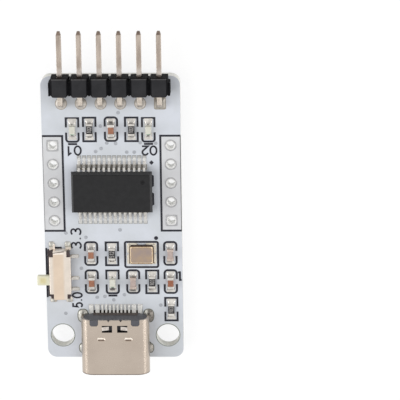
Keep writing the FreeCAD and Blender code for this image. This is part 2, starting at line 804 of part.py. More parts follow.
def make_switch_contacts():
    """Three flat plates on the tray's floor whose tails come out at the side away from the knob."""
    room_length, room_width, floor_z = switch_inside()
    right = switch_x + switch_width / 2
    bend_x = right - cover_sheet - base_wall / 2
    level = floor_z + switch_lead_strip / 2
    foot_z = pad_top + switch_lead_strip / 2
    path = [(switch_x, level), (bend_x, level), (bend_x, foot_z), (right + switch_lead_length, foot_z)]
    contacts = []
    for offset, plate_start, plate_end in switch_contact_places:
        tail = strip_face(path, switch_lead_strip, switch_lead_bend_radius, 1)
        tail = tail.extrude(Vector(switch_lead_width, 0, 0))
        tail.rotate(Vector(0, 0, 0), Vector(0, 0, 1), -90)
        tail.translate(Vector(0, switch_y + offset + switch_lead_width / 2, 0))
        plate = box(switch_x - room_width / 2 + base_wall, switch_x + room_width / 2, switch_y + plate_start,
                    switch_y + plate_end, floor_z, floor_z + switch_lead_strip)
        contacts.append(fused([tail, plate]))
    return Part.makeCompound(contacts)


def stadium(middle_x, y, width, height, depth):
    """A bar along -Y whose section has round ends at both sides."""
    radius = height / 2
    half = width / 2 - radius
    z0 = shell_middle_z - radius
    z1 = shell_middle_z + radius
    left = middle_x - half
    right = middle_x + half
    edges = [Part.LineSegment(Vector(left, y, z0), Vector(right, y, z0)).toShape(),
             Part.Arc(Vector(right, y, z0), Vector(right + radius, y, shell_middle_z),
                      Vector(right, y, z1)).toShape(),
             Part.LineSegment(Vector(right, y, z1), Vector(left, y, z1)).toShape(),
             Part.Arc(Vector(left, y, z1), Vector(left - radius, y, shell_middle_z),
                      Vector(left, y, z0)).toShape()]
    return Part.Face(Part.Wire(edges)).extrude(Vector(0, -depth, 0))


def lug_block(sign, clearance):
    """The place of one housing lug, whose inner corners are cut off, through the top sheet."""
    half = housing_lug_width / 2 + clearance
    x = socket_x + sign * housing_lug_offset
    height = shell_sheet + 2 * housing_clearance
    z0 = board_top + shell_height - height
    inner_y = socket_rear_y - housing_lug_depth - clearance
    corner_y = inner_y + housing_lug_chamfer
    corner_half = half - housing_lug_chamfer
    outline = [(-half, socket_rear_y), (half, socket_rear_y), (half, corner_y), (corner_half, inner_y),
               (-corner_half, inner_y), (-half, corner_y)]
    corners = [Vector(x + px, y, z0) for px, y in outline]
    return Part.Face(Part.makePolygon(corners + corners[:1])).extrude(Vector(0, 0, height))


def window_place(sign):
    """The middle of one window in the top sheet."""
    y = socket_rear_y - shell_window_setback - shell_window_depth / 2
    return socket_x + sign * shell_window_offset, y


def window_finger(sign):
    """A finger lanced out of the sheet, joined at the window's outer side and bent inwards."""
    x, y = window_place(sign)
    root_x = x + sign * (shell_window_width / 2 + shell_sheet / 2)
    top = board_top + shell_height
    length = shell_finger_length + shell_sheet / 2
    x_tip = root_x - sign * length
    finger = box(min(root_x, x_tip), max(root_x, x_tip), y - shell_finger_width / 2,
                 y + shell_finger_width / 2, top - shell_sheet, top)
    finger.rotate(Vector(root_x, y, top), Vector(0, 1, 0), -sign * shell_finger_angle)
    return finger


def dimple_cut(sign):
    """The outside of a pressed dimple: a bar with ball ends that dips into the top sheet."""
    half_width = dimple_width / 2
    radius = (half_width ** 2 + dimple_depth ** 2) / (2 * dimple_depth)
    z = board_top + shell_height + radius - dimple_depth
    y = socket_rear_y - dimple_setback
    straight = dimple_length - dimple_width
    x0 = socket_x + sign * dimple_offset - straight / 2
    bar = Part.makeCylinder(radius, straight, Vector(x0, y, z), Vector(1, 0, 0))
    balls = [Part.makeSphere(radius, Vector(x, y, z)) for x in (x0, x0 + straight)]
    return bar.multiFuse(balls)


def nick_cut(sign):
    """A small three-sided nick in the rear edge of the top sheet."""
    x = socket_x + sign * rear_nick_offset
    z = board_top + shell_height - shell_sheet
    left = Vector(x - rear_nick_width / 2, socket_rear_y, z)
    right = Vector(x + rear_nick_width / 2, socket_rear_y, z)
    point = Vector(x, socket_rear_y - rear_nick_depth, z)
    return Part.Face(Part.makePolygon([left, right, point, left])).extrude(Vector(0, 0, shell_sheet))


def make_shell():
    """The socket's sheet shell, folded round into a flat tube, with its legs, windows and notches."""
    outside = stadium(socket_x, socket_rear_y, shell_width, shell_height, shell_length)
    inside = stadium(socket_x, socket_rear_y, shell_width - 2 * shell_sheet, shell_height - 2 * shell_sheet,
                     shell_length)
    tube = outside.cut(inside)
    cuts = [box(socket_x - housing_floor_half, socket_x + housing_floor_half, socket_rear_y - housing_depth,
                socket_rear_y, board_top, board_top + shell_sheet * 2)]
    for x, y, width in leg_places:
        outer_x = socket_x + math.copysign(shell_width / 2, x)
        inner_x = outer_x - math.copysign(shell_height / 2, x)
        reach = width / 2 + leg_relief
        cuts.append(box(min(outer_x, inner_x), max(outer_x, inner_x), y - reach, y + reach, board_top,
                        shell_middle_z))
    for sign in (-1, 1):
        cuts.append(lug_block(sign, housing_clearance))
        x, y = window_place(sign)
        cuts.append(block(x, y, board_top + shell_height / 2, shell_window_width, shell_window_depth,
                          shell_height))
        cuts.append(dimple_cut(sign))
        cuts.append(nick_cut(sign))
    shell = tube.cut(Part.makeCompound(cuts[:1])).cut(Part.makeCompound(cuts[1:5]))
    for cut in cuts[5:]:
        shell = shell.cut(cut)
    legs = [block(socket_x + x, y, board_top - shell_leg_drop, shell_sheet, width,
                  shell_middle_z - board_top + shell_leg_drop) for x, y, width in leg_places]
    fingers = [window_finger(sign) for sign in (-1, 1)]
    return fused([shell] + legs + fingers)


def contact_levels():
    """The heights of the upper and lower contacts' middles, flush with the tongue's two faces."""
    reach = tongue_thickness / 2 - contact_thickness / 2
    return shell_middle_z + reach, shell_middle_z - reach


def make_contact(spot, tail, level, bend_setback, foot_width):
    """One contact: a bar on the tongue, a slanted run to its tail's place, a leg down and a foot."""
    half = contact_width / 2
    tip_y = socket_front_y + tongue_recess + contact_tip_gap
    bend_y = socket_rear_y - bend_setback
    fan_end_y = bend_y - contact_bend_radius - contact_thickness
    fan_start_y = fan_end_y - fan_length
    z0 = level - contact_thickness / 2
    outline = [(spot - half, tip_y), (spot + half, tip_y), (spot + half, fan_start_y),
               (tail + half, fan_end_y), (tail - half, fan_end_y), (spot - half, fan_start_y),
               (spot - half, tip_y)]
    plan = Part.Face(Part.makePolygon([Vector(socket_x + x, y, z0) for x, y in outline]))
    flat = plan.extrude(Vector(0, 0, contact_thickness))
    foot_z = pad_top + contact_thickness / 2
    points = [(fan_end_y, level), (bend_y, level), (bend_y, foot_z),
              (socket_rear_y + contact_foot_reach, foot_z)]
    drop = bent_strip(points, contact_thickness, contact_bend_radius, 1, socket_x + tail, foot_width)
    return flat.fuse(drop)


def make_contacts():
    """Sixteen contacts whose two outer pairs at each side share a wide tail, as twelve solids."""
    upper_z, lower_z = contact_levels()
    groups = {}
    for rows, level, setback in ((upper_contacts, upper_z, upper_bend_setback),
                                 (lower_contacts, lower_z, lower_bend_setback)):
        for spot, tail in rows:
            foot = power_foot_width if tail in power_tails else contact_width
            for pitch in (-contact_pitch, contact_pitch):
                contact = make_contact(spot * pitch, tail * pitch, level, setback, foot)
                groups.setdefault(tail * pitch, []).append(contact)
    return Part.makeCompound([fused(pieces).Solids[0] for pieces in groups.values()])


def make_mid_plate():
    """The stiffening plate in the middle of the tongue, bare at the tongue's two sides."""
    nose_y = socket_front_y + tongue_recess + mid_plate_nose_gap
    root_y = socket_rear_y - housing_depth + mid_plate_root_length
    return box(socket_x - tongue_width / 2, socket_x + tongue_width / 2, nose_y, root_y,
               shell_middle_z - mid_plate_thickness / 2, shell_middle_z + mid_plate_thickness / 2)


def make_socket_housing(contacts, mid_plate):
    """The moulding: a rear block that fills the shell, two lugs, two pegs and the tongue."""
    inner_width = shell_width - 2 * shell_sheet - 2 * housing_clearance
    inner_height = shell_height - 2 * shell_sheet - 2 * housing_clearance
    core = stadium(socket_x, socket_rear_y, inner_width, inner_height, housing_depth)
    floor_half = housing_floor_half - housing_clearance
    base_depth = housing_depth - housing_clearance
    base = box(socket_x - floor_half, socket_x + floor_half, socket_rear_y - base_depth, socket_rear_y,
               board_top, shell_middle_z)
    pieces = [core, base]
    for sign in (-1, 1):
        pieces.append(lug_block(sign, 0))
        peg_x = socket_x + sign * socket_peg_offset
        pieces.append(small_round(peg_x, socket_rear_y - socket_peg_setback, board_top - socket_peg_length,
                                  socket_peg_radius, socket_peg_radius, socket_peg_length))
    root_y = socket_rear_y - housing_depth
    nose_y = socket_front_y + tongue_recess
    half = tongue_thickness / 2
    side = [(root_y, half), (nose_y + tongue_nose, half), (nose_y, half - tongue_nose),
            (nose_y, -half + tongue_nose), (nose_y + tongue_nose, -half), (root_y, -half), (root_y, half)]
    outline = Part.makePolygon([Vector(socket_x - tongue_width / 2, y, shell_middle_z + z) for y, z in side])
    pieces.append(Part.Face(outline).extrude(Vector(tongue_width, 0, 0)))
    housing = fused(pieces)
    for sign in (-1, 1):
        x, y = window_place(sign)
        pocket_top = board_top + shell_height - shell_sheet
        pocket_width = shell_window_width + 2 * shell_sheet
        housing = housing.cut(block(x, y, pocket_top - finger_pocket_depth, pocket_width,
                                    shell_window_depth, finger_pocket_depth))
    return housing.cut(mid_plate).cut(contacts)


def make_shell_solder(shell):
    """Solder in the leg slots, drawn up round each leg above and domed below."""
    joints = []
    for x, y, width in leg_places:
        slot_x = shell_sheet + 2 * slot_clearance
        slot_y = width + 2 * slot_clearance + slot_x / 2
        pad_x = slot_x + 2 * solder_side_ledge
        pad_y = slot_y + 2 * solder_end_ledge
        above = tapered_block(socket_x + x, y, board_top, pad_x, pad_y, slot_x, slot_y, shell_solder_height)
        below = tapered_block(socket_x + x, y, -shell_solder_dome, slot_x, slot_y, pad_x, pad_y,
                              shell_solder_dome)
        joint = fused([above, below, leg_slot(x, y, width)]).cut(shell)
        joints.append(max(joint.Solids, key=lambda solid: solid.Volume))
    return Part.makeCompound(joints)


def main():
    """Make every piece and write each as a node of its own."""
    os.makedirs("parts", exist_ok=True)
    save("circuit_board", make_board())
    save("surface_pads", make_pads())

    save("header_housing", make_header_housing())
    pins = [make_pin(x) for x in header_xs]
    for number, pin in enumerate(pins, 1):
        save("header_pin_%d" % number, pin)
    save("header_solder", make_header_solder(pins))

    save("chip_body", make_chip_body())
    save("chip_leads_header_side", make_chip_leads(1))
    save("chip_leads_socket_side", make_chip_leads(-1))

    crystal_base, crystal_ring, crystal_lid = make_crystal()
    save("crystal_base", crystal_base)
    save("crystal_ring", crystal_ring)
    save("crystal_lid", crystal_lid)

    switch_contacts = make_switch_contacts()
    save("switch_base", make_switch_base(switch_contacts))
    save("switch_cover", make_switch_cover())
    save("switch_contacts", switch_contacts)
    save("switch_slider", make_slider())
    save("switch_wiper", make_wiper())

    shell = make_shell()
    contacts = make_contacts()
    mid_plate = make_mid_plate()
    save("socket_shell", shell)
    save("socket_contacts", contacts)
    save("socket_mid_plate", mid_plate)
    save("socket_housing", make_socket_housing(contacts, mid_plate))
    save("socket_solder", make_shell_solder(shell))

    for number, (x, y) in enumerate(led_places, 1):
        save("led_%d_base" % number, make_led_base(x, y))
        save("led_%d_lens" % number, make_led_lens(x, y))
    for number, (x, y) in enumerate(resistor_places, 1):
        save("resistor_%d" % number, make_resistor(x, y))
    save("resistor_terminals", make_resistor_terminals())
    for number, (x, y) in enumerate(capacitor_places, 1):
        save("capacitor_%d" % number, make_capacitor(x, y))
    save("capacitor_caps", make_capacitor_caps())


main()
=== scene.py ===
"""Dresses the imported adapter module: finishes, plating, printed ink, solder and a soft studio."""

import math

import bmesh
import bpy
import numpy as np
from bpy.props import FloatProperty, FloatVectorProperty, PointerProperty
from mathutils import Matrix, Vector


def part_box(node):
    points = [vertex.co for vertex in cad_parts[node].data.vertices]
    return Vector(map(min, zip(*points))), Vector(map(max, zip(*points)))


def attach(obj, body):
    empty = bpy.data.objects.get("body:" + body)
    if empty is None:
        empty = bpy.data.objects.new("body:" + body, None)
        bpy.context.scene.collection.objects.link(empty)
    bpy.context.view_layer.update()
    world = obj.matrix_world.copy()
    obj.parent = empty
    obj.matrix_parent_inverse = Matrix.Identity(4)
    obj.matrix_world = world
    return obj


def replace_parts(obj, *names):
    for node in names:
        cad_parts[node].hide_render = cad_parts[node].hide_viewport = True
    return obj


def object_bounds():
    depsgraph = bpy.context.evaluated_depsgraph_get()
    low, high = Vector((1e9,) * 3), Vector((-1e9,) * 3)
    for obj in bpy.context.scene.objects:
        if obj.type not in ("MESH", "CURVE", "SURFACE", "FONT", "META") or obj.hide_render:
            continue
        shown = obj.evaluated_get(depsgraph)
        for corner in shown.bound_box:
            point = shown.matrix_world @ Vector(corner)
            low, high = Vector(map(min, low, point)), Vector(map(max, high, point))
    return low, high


bl_info = {
    "name": "Adapter Module Finish",
    "version": (1, 0, 0),
    "blender": (4, 5, 0),
    "location": "3D View > Sidebar > Module",
    "description": "Gives the circuit module its finishes, plating, ink, solder and studio",
    "category": "Object",
}

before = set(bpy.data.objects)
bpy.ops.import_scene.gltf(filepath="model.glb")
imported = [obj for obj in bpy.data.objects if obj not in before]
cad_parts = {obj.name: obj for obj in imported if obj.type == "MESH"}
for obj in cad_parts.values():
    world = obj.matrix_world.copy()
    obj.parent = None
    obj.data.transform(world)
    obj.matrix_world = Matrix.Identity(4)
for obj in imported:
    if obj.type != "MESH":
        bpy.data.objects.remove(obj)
cad_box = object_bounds()

# Lengths in this file are millimetres, and a mesh gets them as metres.
METRE = 0.001


def linear(red, green, blue):
    """Turns display values from 0 to 255 into the light values that a shader takes."""
    share = np.array((red, green, blue), float) / 255
    light = np.where(share <= 0.04045, share / 12.92, ((share + 0.055) / 1.055) ** 2.4)
    return tuple(float(value) for value in light)


def node_box(name):
    """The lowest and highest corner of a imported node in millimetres."""
    low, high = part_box(name)
    return np.array(low) / METRE, np.array(high) / METRE


def node_middle(name):
    """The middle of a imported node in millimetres."""
    low, high = node_box(name)
    return (low + high) / 2


def numbered(family, count, part=""):
    """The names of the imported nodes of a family."""
    return [f"{family}_{index}{part}" for index in range(1, count + 1)]


BOARD_LOW, BOARD_HIGH = node_box("circuit_board")
BOARD_TOP = BOARD_HIGH[2]
PAD_TOP = node_box("surface_pads")[1][2]
RESISTORS = numbered("resistor", 5)
CAPACITORS = numbered("capacitor", 6)
LEDS = numbered("led", 3, "_base")
PINS = numbered("header_pin", 6)
CHIP_LAND_END = 4.58  # From the chip's middle to the far end of its leads' lands
FRAME_END, FRAME_TOP = 14.45, 27.28  # The printed frames round the side holes, along Y


# Sizes and colours that a user would change


def length(name, text, size):
    """A length that a user sets, given in millimetres."""
    return FloatProperty(name=name, description=text, default=size * METRE, unit="LENGTH",
                         subtype="DISTANCE")


def colour(name, text, *shown):
    """A colour that a user sets, given by its display values."""
    return FloatVectorProperty(name=name, description=text, size=3, subtype="COLOR", min=0, max=1,
                               default=linear(*shown))


class ModuleSizes(bpy.types.PropertyGroup):
    """Sizes of the printed, plated and soldered details"""

    ink_line: length("Ink line", "Width of the printed lines", 0.26)
    ink_height: length("Ink height", "Thickness of the printed ink", 0.02)
    ring_radius: length("Ring radius", "Outer radius of a plated hole's ring", 0.79)
    barrel_radius: length("Barrel radius", "Inner radius of a plated hole", 0.48)
    via_radius: length("Via radius", "Outer radius of a covered via", 0.25)
    rim_width: length("Rim width", "Width of the bare ring round a mounting hole", 0.13)


class ModuleColours(bpy.types.PropertyGroup):
    """Main colours of the module"""

    mask: colour("Mask", "Solder mask of the board", 214, 218, 226)
    ink: colour("Ink", "Printed lines and numbers", 34, 34, 40)
    shell: colour("Socket nickel", "Nickel of the socket's case", 193, 180, 167)
    cover: colour("Cover", "Sheet cover of the slide switch", 230, 211, 190)
    knob: colour("Knob", "Moulding of the switch's slider", 230, 228, 204)


class ModuleStudio(bpy.types.PropertyGroup):
    """The studio round the module"""

    sky: FloatProperty(
        name="Sky", description="Brightness of the room's even light", default=0.44, min=0, max=2)
    softbox: FloatProperty(
        name="Softbox", description="Power of each softbox", default=0.64, min=0, max=5, unit="POWER")
    distance: length("Distance", "Distance of the softboxes", 400)


# Meshes from rings of points. A solid is an array of rings by points by three, with True where the
# last ring joins the first one again.


def outward(points, closed):
    """Turns round the rings of a solid whose faces would point inwards.

    The sign comes from the solid's volume: the sum over its quads of the middle times the cross
    product of the two diagonals, and for an open row of rings the same over both end polygons.
    """
    following = np.roll(points, -1, 0)
    if not closed:
        following = following[:-1]
    near = points[:len(following)]
    near_next = np.roll(near, -1, 1)
    far_next = np.roll(following, -1, 1)
    middle = (near + near_next + following + far_next) / 4
    volume = np.sum(middle * np.cross(far_next - near, following - near_next))
    if not closed:
        for ring, sign in ((points[0], -1), (points[-1], 1)):
            centre = ring.mean(0)
            spokes = ring - centre
            volume += sign * np.sum(centre * np.cross(spokes, np.roll(spokes, -1, 0)).sum(0))
    return points[:, ::-1] if volume < 0 else points


def ring_faces(rows, columns, closed, first):
    """Quads between neighbouring rings, and a polygon over each end of an open row of rings."""
    row = np.arange(rows if closed else rows - 1)[:, None]
    column = np.arange(columns)[None]
    next_row = (row + 1) % rows
    next_column = (column + 1) % columns
    corners = (row * columns + column, row * columns + next_column,
               next_row * columns + next_column, next_row * columns + column)
    faces = (first + np.stack(np.broadcast_arrays(*corners), -1).reshape(-1, 4)).tolist()
    if not closed:
        end = first + np.arange(columns)
        faces += [end[::-1].tolist(), (end + (rows - 1) * columns).tolist()]
    return faces


def build_piece(name, solids, finish_name, body="module", sharp_angle=35):
    """Makes one object from solids, in millimetres, and lets it ride on its body."""
    vertices = []
    faces = []
    count = 0
    for points, closed in solids:
        rows, columns, _ = points.shape
        faces += ring_faces(rows, columns, closed, count)
        vertices.append(outward(points, closed).reshape(-1, 3))
        count += rows * columns
    mesh = bpy.data.meshes.new(name)
    mesh.from_pydata((np.concatenate(vertices) * METRE).tolist(), [], faces)
    mesh.shade_smooth()
    mesh.set_sharp_from_angle(angle=math.radians(sharp_angle))
    mesh.materials.append(bpy.data.materials[finish_name])
    mesh.validate()
    mesh.update()
    piece = bpy.data.objects.new(name, mesh)
    bpy.context.scene.collection.objects.link(piece)
    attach(piece, body)
    return piece


def arc(centre, radii, start, end, steps):
    """Points on an ellipse: centre plus each radius times the cosine and sine of an even angle."""
    turn = np.radians(np.linspace(start, end, steps + 1))
    return np.stack((centre[0] + radii[0] * np.cos(turn), centre[1] + radii[1] * np.sin(turn)), -1)


def ribbon(path, width, bottom, top, closed=False):
    """A flat line of even width along a path in the board's plane, as one solid.

    At each point both edges lie on the mean of the two neighbouring normals, at half the width
    divided by the cosine of half the turn, so the line keeps its width round a corner.
    """
    path = np.asarray(path, float)
    leaving = np.roll(path, -1, 0) - path
    leaving /= np.maximum(np.linalg.norm(leaving, axis=1, keepdims=True), 1e-9)
    arriving = np.roll(leaving, 1, 0)
    if not closed:
        arriving[0] = leaving[0]
        leaving[-1] = arriving[-1]
    normal = arriving + leaving
    normal = np.stack((-normal[:, 1], normal[:, 0]), -1)
    normal /= np.linalg.norm(normal, axis=1, keepdims=True)
    side = np.stack((-leaving[:, 1], leaving[:, 0]), -1)
    reach = width / 2 / np.sum(normal * side, axis=1, keepdims=True)
    rings = np.zeros((len(path), 4, 3))
    rings[:, 0:2, 0:2] = (path + normal * reach)[:, None]
    rings[:, 2:4, 0:2] = (path - normal * reach)[:, None]
    rings[:, [0, 3], 2] = bottom
    rings[:, [1, 2], 2] = top
    return rings, closed


def turned(profile, centre, inner, outer, columns=40):
    """A solid carried round an upright axis, whose section is a closed profile.

    A profile point is (share, height). Its distance from the axis is the inner outline's where the
    share is 0 and the outer outline's where it is 1. An outline is a function of the angle.
    """
    profile = np.asarray(profile, float)
    turn = np.linspace(0, 2 * np.pi, columns, endpoint=False)
    near = inner(turn)[None]
    radius = near + (outer(turn)[None] - near) * profile[:, :1]
    points = np.zeros((len(profile), columns, 3))
    points[..., 0] = centre[0] + radius * np.cos(turn)
    points[..., 1] = centre[1] + radius * np.sin(turn)
    points[..., 2] = profile[:, 1:]
    return points, True


def on_both_faces(section, centre, inner, outer, columns=40):
    """The same turned solid on the board's upper and under face, from heights above that face."""
    return [turned([(share, face + side * height) for share, height in section], centre, inner, outer,
                   columns) for face, side in ((BOARD_TOP, 1), (0, -1))]


def outline(half_x, half_y, power=2):
    """An outline seen from above, as a function of the angle: an oval for 2, almost a box for 12.

    The distance is the sum of the cosine over the half length along X and of the sine over the half
    length along Y, each to the power, then to the power of minus one over it.
    """
    def distance(turn):
        along_x = np.abs(np.cos(turn) / half_x) ** power
        along_y = np.abs(np.sin(turn) / half_y) ** power
        return (along_x + along_y) ** (-1 / power)
    return distance


def round_outline(radius):
    """The outline of a circle."""
    return outline(radius, radius)


def square_outline(half):
    """The outline of a square whose corners are just softened."""
    return outline(half, half, 12)


CORE = round_outline(0.001)


def slab(x, y, bottom, top):
    """A block between two places along X and two along Y."""
    rings = np.zeros((2, 4, 3))
    rings[:, :, 0] = (x[0], x[1], x[1], x[0])
    rings[:, :, 1] = (y[0], y[0], y[1], y[1])
    rings[:, :, 2] = ((bottom,), (top,))
    return rings, False


def extruded(points, bottom, top):
    """An upright solid between two levels whose outline is a list of points."""
    rings = np.zeros((2, len(points), 3))
    rings[:, :, 0:2] = points
    rings[:, :, 2] = ((bottom,), (top,))
    return rings, False


def fillet(foot, heading, reach, near_half, far_half, height, steps=7, across=9):
    """A solder fillet: a hollow ramp that runs out from a part's end along its land.

    Along the land its top falls as one minus the share of the reach, to the power 2.2. Across it the
    top falls with the fourth power of the share of the half width, so that both sides round off.
    """
    along = np.linspace(0, 1, steps)[:, None]
    side = np.concatenate((np.linspace(-1, 1, across), (1, -1)))[None, :]
    half = near_half + (far_half - near_half) * along
    rings = np.zeros((steps, across + 2, 3))
    rings[..., 0] = foot[0] - heading * half * side
    rings[..., 1] = foot[1] + heading * reach * along
    skin = 0.012
    rings[..., 2] = PAD_TOP + skin + height * (1 - along) ** 2.2 * (1 - side ** 4)
    rings[:, across:, 2] = BOARD_TOP - skin
    return rings, False


def pillow(centre, half_x, half_y, height, floor=PAD_TOP, power=4, columns=24):
    """A rounded heap of solder: its top falls off as one minus the squared share of the way out."""
    shares = (1, 0.96, 0.88, 0.72, 0.5, 0.25, 0)
    profile = [(0, floor - 0.01), (1, floor - 0.01)]
    profile += [(share, floor + 0.004 + height * (1 - share ** 2)) for share in shares]
    return turned(profile, centre, CORE, outline(half_x, half_y, power), columns)


def through_joint(above, neck, below, centre, inner, outer):
    """Solder that fills a plated hole and stands on both faces, from (share, height) points."""
    profile = [(share, BOARD_TOP + height) for share, height in above]
    profile += [(neck, BOARD_TOP), (neck, 0)] + list(below)
    return turned(profile, centre, inner, outer)


# Shader building blocks

SOCKET_KINDS = {"Vector": "Vector", "Axis": "Vector", "Low Corner": "Vector", "High Corner": "Vector",
                "First": "Color", "Second": "Color", "Colour": "Color"}


def add_node(tree, kind, inputs=None, **settings):
    """Adds a shader node with its settings and its unlinked values."""
    node = tree.nodes.new("ShaderNode" + kind)
    for name, value in settings.items():
        setattr(node, name, value)
    for name, value in (inputs or {}).items():
        node.inputs[name].default_value = value
    return node


def wire(tree, *links):
    """Links nodes. A link is a node, its output, the next node and that node's input."""
    for source, output, target, entry in links:
        tree.links.new(source.outputs[output], target.inputs[entry])


def new_group(name, inputs, outputs):
    """An empty node group with named inputs and outputs."""
    tree = bpy.data.node_groups.new(name, "ShaderNodeTree")
    for labels, way in ((inputs, "INPUT"), (outputs, "OUTPUT")):
        for label in labels:
            kind = "NodeSocket" + SOCKET_KINDS.get(label, "Float")
            tree.interface.new_socket(label, in_out=way, socket_type=kind)
    return tree, tree.nodes.new("NodeGroupInput"), tree.nodes.new("NodeGroupOutput")


def cloud_group():
    """Colour that drifts between two tones in soft clouds."""
    tree, source, result = new_group(
        "Cloudy Colour", ("Vector", "First", "Second", "Scale", "Low", "High"), ("Colour",))
    noise = add_node(tree, "TexNoise", {"Detail": 4.0, "Roughness": 0.6})
    spread = add_node(tree, "MapRange")
    blend = add_node(tree, "Mix", data_type="RGBA")
    wire(tree, (source, "Vector", noise, "Vector"), (source, "Scale", noise, "Scale"),
         (noise, "Fac", spread, "Value"), (source, "Low", spread, "From Min"),
         (source, "High", spread, "From Max"), (spread, "Result", blend, "Factor"),
         (source, "First", blend, "A"), (source, "Second", blend, "B"),
         (blend, "Result", result, "Colour"))


def grain_group():
    """Fine grain that varies the roughness and lifts the surface."""
    tree, source, result = new_group(
        "Fine Grain", ("Vector", "Scale", "Smooth", "Rough"), ("Roughness", "Height"))
    noise = add_node(tree, "TexNoise", {"Detail": 3.0, "Roughness": 0.65})
    spread = add_node(tree, "MapRange", {"From Min": 0.3, "From Max": 0.7})
    wire(tree, (source, "Vector", noise, "Vector"), (source, "Scale", noise, "Scale"),
         (noise, "Fac", spread, "Value"), (source, "Smooth", spread, "To Min"),
         (source, "Rough", spread, "To Max"), (spread, "Result", result, "Roughness"),
         (noise, "Fac", result, "Height"))


def axis_group():
    """A mask that rises from 0 to 1 between two distances along one direction."""
    tree, source, result = new_group("Axis Zone", ("Vector", "Axis", "Start", "End"), ("Mask",))
    along = add_node(tree, "VectorMath", operation="DOT_PRODUCT")
    spread = add_node(tree, "MapRange")
    wire(tree, (source, "Vector", along, 0), (source, "Axis", along, 1), (along, "Value", spread, "Value"),
         (source, "Start", spread, "From Min"), (source, "End", spread, "From Max"),
         (spread, "Result", result, "Mask"))


def box_group():
    """A mask that is 1 inside a box along the axes, and falls to 0 over a soft margin inside it."""
    tree, source, result = new_group("Box Zone", ("Vector", "Low Corner", "High Corner", "Margin"), ("Mask",))
    both = add_node(tree, "VectorMath", operation="MULTIPLY")
    for entry, (first, second) in enumerate((("Vector", "Low Corner"), ("High Corner", "Vector"))):
        inside, share, floor, ceiling = (add_node(tree, "VectorMath", operation=kind)
                                         for kind in ("SUBTRACT", "DIVIDE", "MAXIMUM", "MINIMUM"))
        floor.inputs[1].default_value = (0, 0, 0)
        ceiling.inputs[1].default_value = (1, 1, 1)
        wire(tree, (source, first, inside, 0), (source, second, inside, 1), (inside, "Vector", share, 0),
             (source, "Margin", share, 1), (share, "Vector", floor, 0), (floor, "Vector", ceiling, 0),
             (ceiling, "Vector", both, entry))
    parts = add_node(tree, "SeparateXYZ")
    flat = add_node(tree, "Math", operation="MULTIPLY")
    full = add_node(tree, "Math", operation="MULTIPLY")
    wire(tree, (both, "Vector", parts, "Vector"), (parts, "X", flat, 0), (parts, "Y", flat, 1),
         (flat, "Value", full, 0), (parts, "Z", full, 1), (full, "Value", result, "Mask"))


def place_group(material, name, inputs):
    """Puts a shared group, fed with the object's own place, into a material with its own values."""
    tree = material.node_tree
    node = add_node(tree, "Group", node_tree=bpy.data.node_groups[name])
    for label, value in inputs.items():
        node.inputs[label].default_value = value
    wire(tree, (add_node(tree, "TexCoord"), "Object", node, "Vector"))
    return node


def clouds(material, first, second, scale, low, high):
    """Cloudy colour between two tones, each given by display values or as a user's colour."""
    first, second = (linear(*tone) if isinstance(tone, tuple) else tone for tone in (first, second))
    return place_group(material, "Cloudy Colour", {
        "First": (*first, 1), "Second": (*second, 1), "Scale": scale, "Low": low, "High": high})


def finish(name, first, second, cloud, smooth, rough, grain=9000, bump=0.002, metallic=0.0, specular=0.5,
           stretch=None):
    """A material of drifting colour and fine grain.

    It takes two tones, the scale of the clouds, the least and the most roughness, the scale of the
    grain and the grain's height in millimetres. Stretch scales both patterns along each axis.
    """
    material = bpy.data.materials.new(name)
    material.use_nodes = True
    tree = material.node_tree
    shader = tree.nodes["Principled BSDF"]
    shader.inputs["Metallic"].default_value = metallic
    shader.inputs["Specular IOR Level"].default_value = specular
    colour_node = clouds(material, first, second, cloud, 0.35, 0.65)
    grain_node = place_group(material, "Fine Grain", {"Scale": grain, "Smooth": smooth, "Rough": rough})
    if stretch:
        for node in (colour_node, grain_node):
            mapping = add_node(tree, "Mapping", {"Scale": stretch})
            wire(tree, (node.inputs["Vector"].links[0].from_node, "Object", mapping, "Vector"),
                 (mapping, "Vector", node, "Vector"))
    lift = add_node(tree, "Bump", {"Strength": 1.0, "Distance": bump * METRE})
    wire(tree, (colour_node, "Colour", shader, "Base Color"), (grain_node, "Roughness", shader, "Roughness"),
         (grain_node, "Height", lift, "Height"), (lift, "Normal", shader, "Normal"))
    return material


def metal(name, first, second, *values, **settings):
    """A metal finish."""
    return finish(name, first, second, *values, metallic=1.0, **settings)


def cover_zone(material, mask, first, second, scale=2500):
    """Blends a material's colour into another cloudy colour where the mask is 1."""
    tree = material.node_tree
    shader = tree.nodes["Principled BSDF"]
    blend = add_node(tree, "Mix", data_type="RGBA")
    tree.links.new(mask, blend.inputs["Factor"])
    tree.links.new(shader.inputs["Base Color"].links[0].from_socket, blend.inputs["A"])
    wire(tree, (clouds(material, first, second, scale, 0.4, 0.6), "Colour", blend, "B"),
         (blend, "Result", shader, "Base Color"))


def axis_mask(material, axis, start, end):
    """One past a distance along a direction, in millimetres."""
    return place_group(material, "Axis Zone", {
        "Axis": axis, "Start": start * METRE, "End": end * METRE}).outputs["Mask"]


def axis_zone(material, axis, start, end, *tones):
    """Covers a material past a distance along a direction with other tones."""
    cover_zone(material, axis_mask(material, axis, start, end), *tones)


def box_zone(material, low, high, first, second, scale=2500, margin=0.02):
    """Covers a material inside a box, in millimetres, with other tones."""
    mask = place_group(material, "Box Zone", {
        "Low Corner": [value * METRE for value in low], "High Corner": [value * METRE for value in high],
        "Margin": margin * METRE}).outputs["Mask"]
    cover_zone(material, mask, first, second, scale)


# Finishes


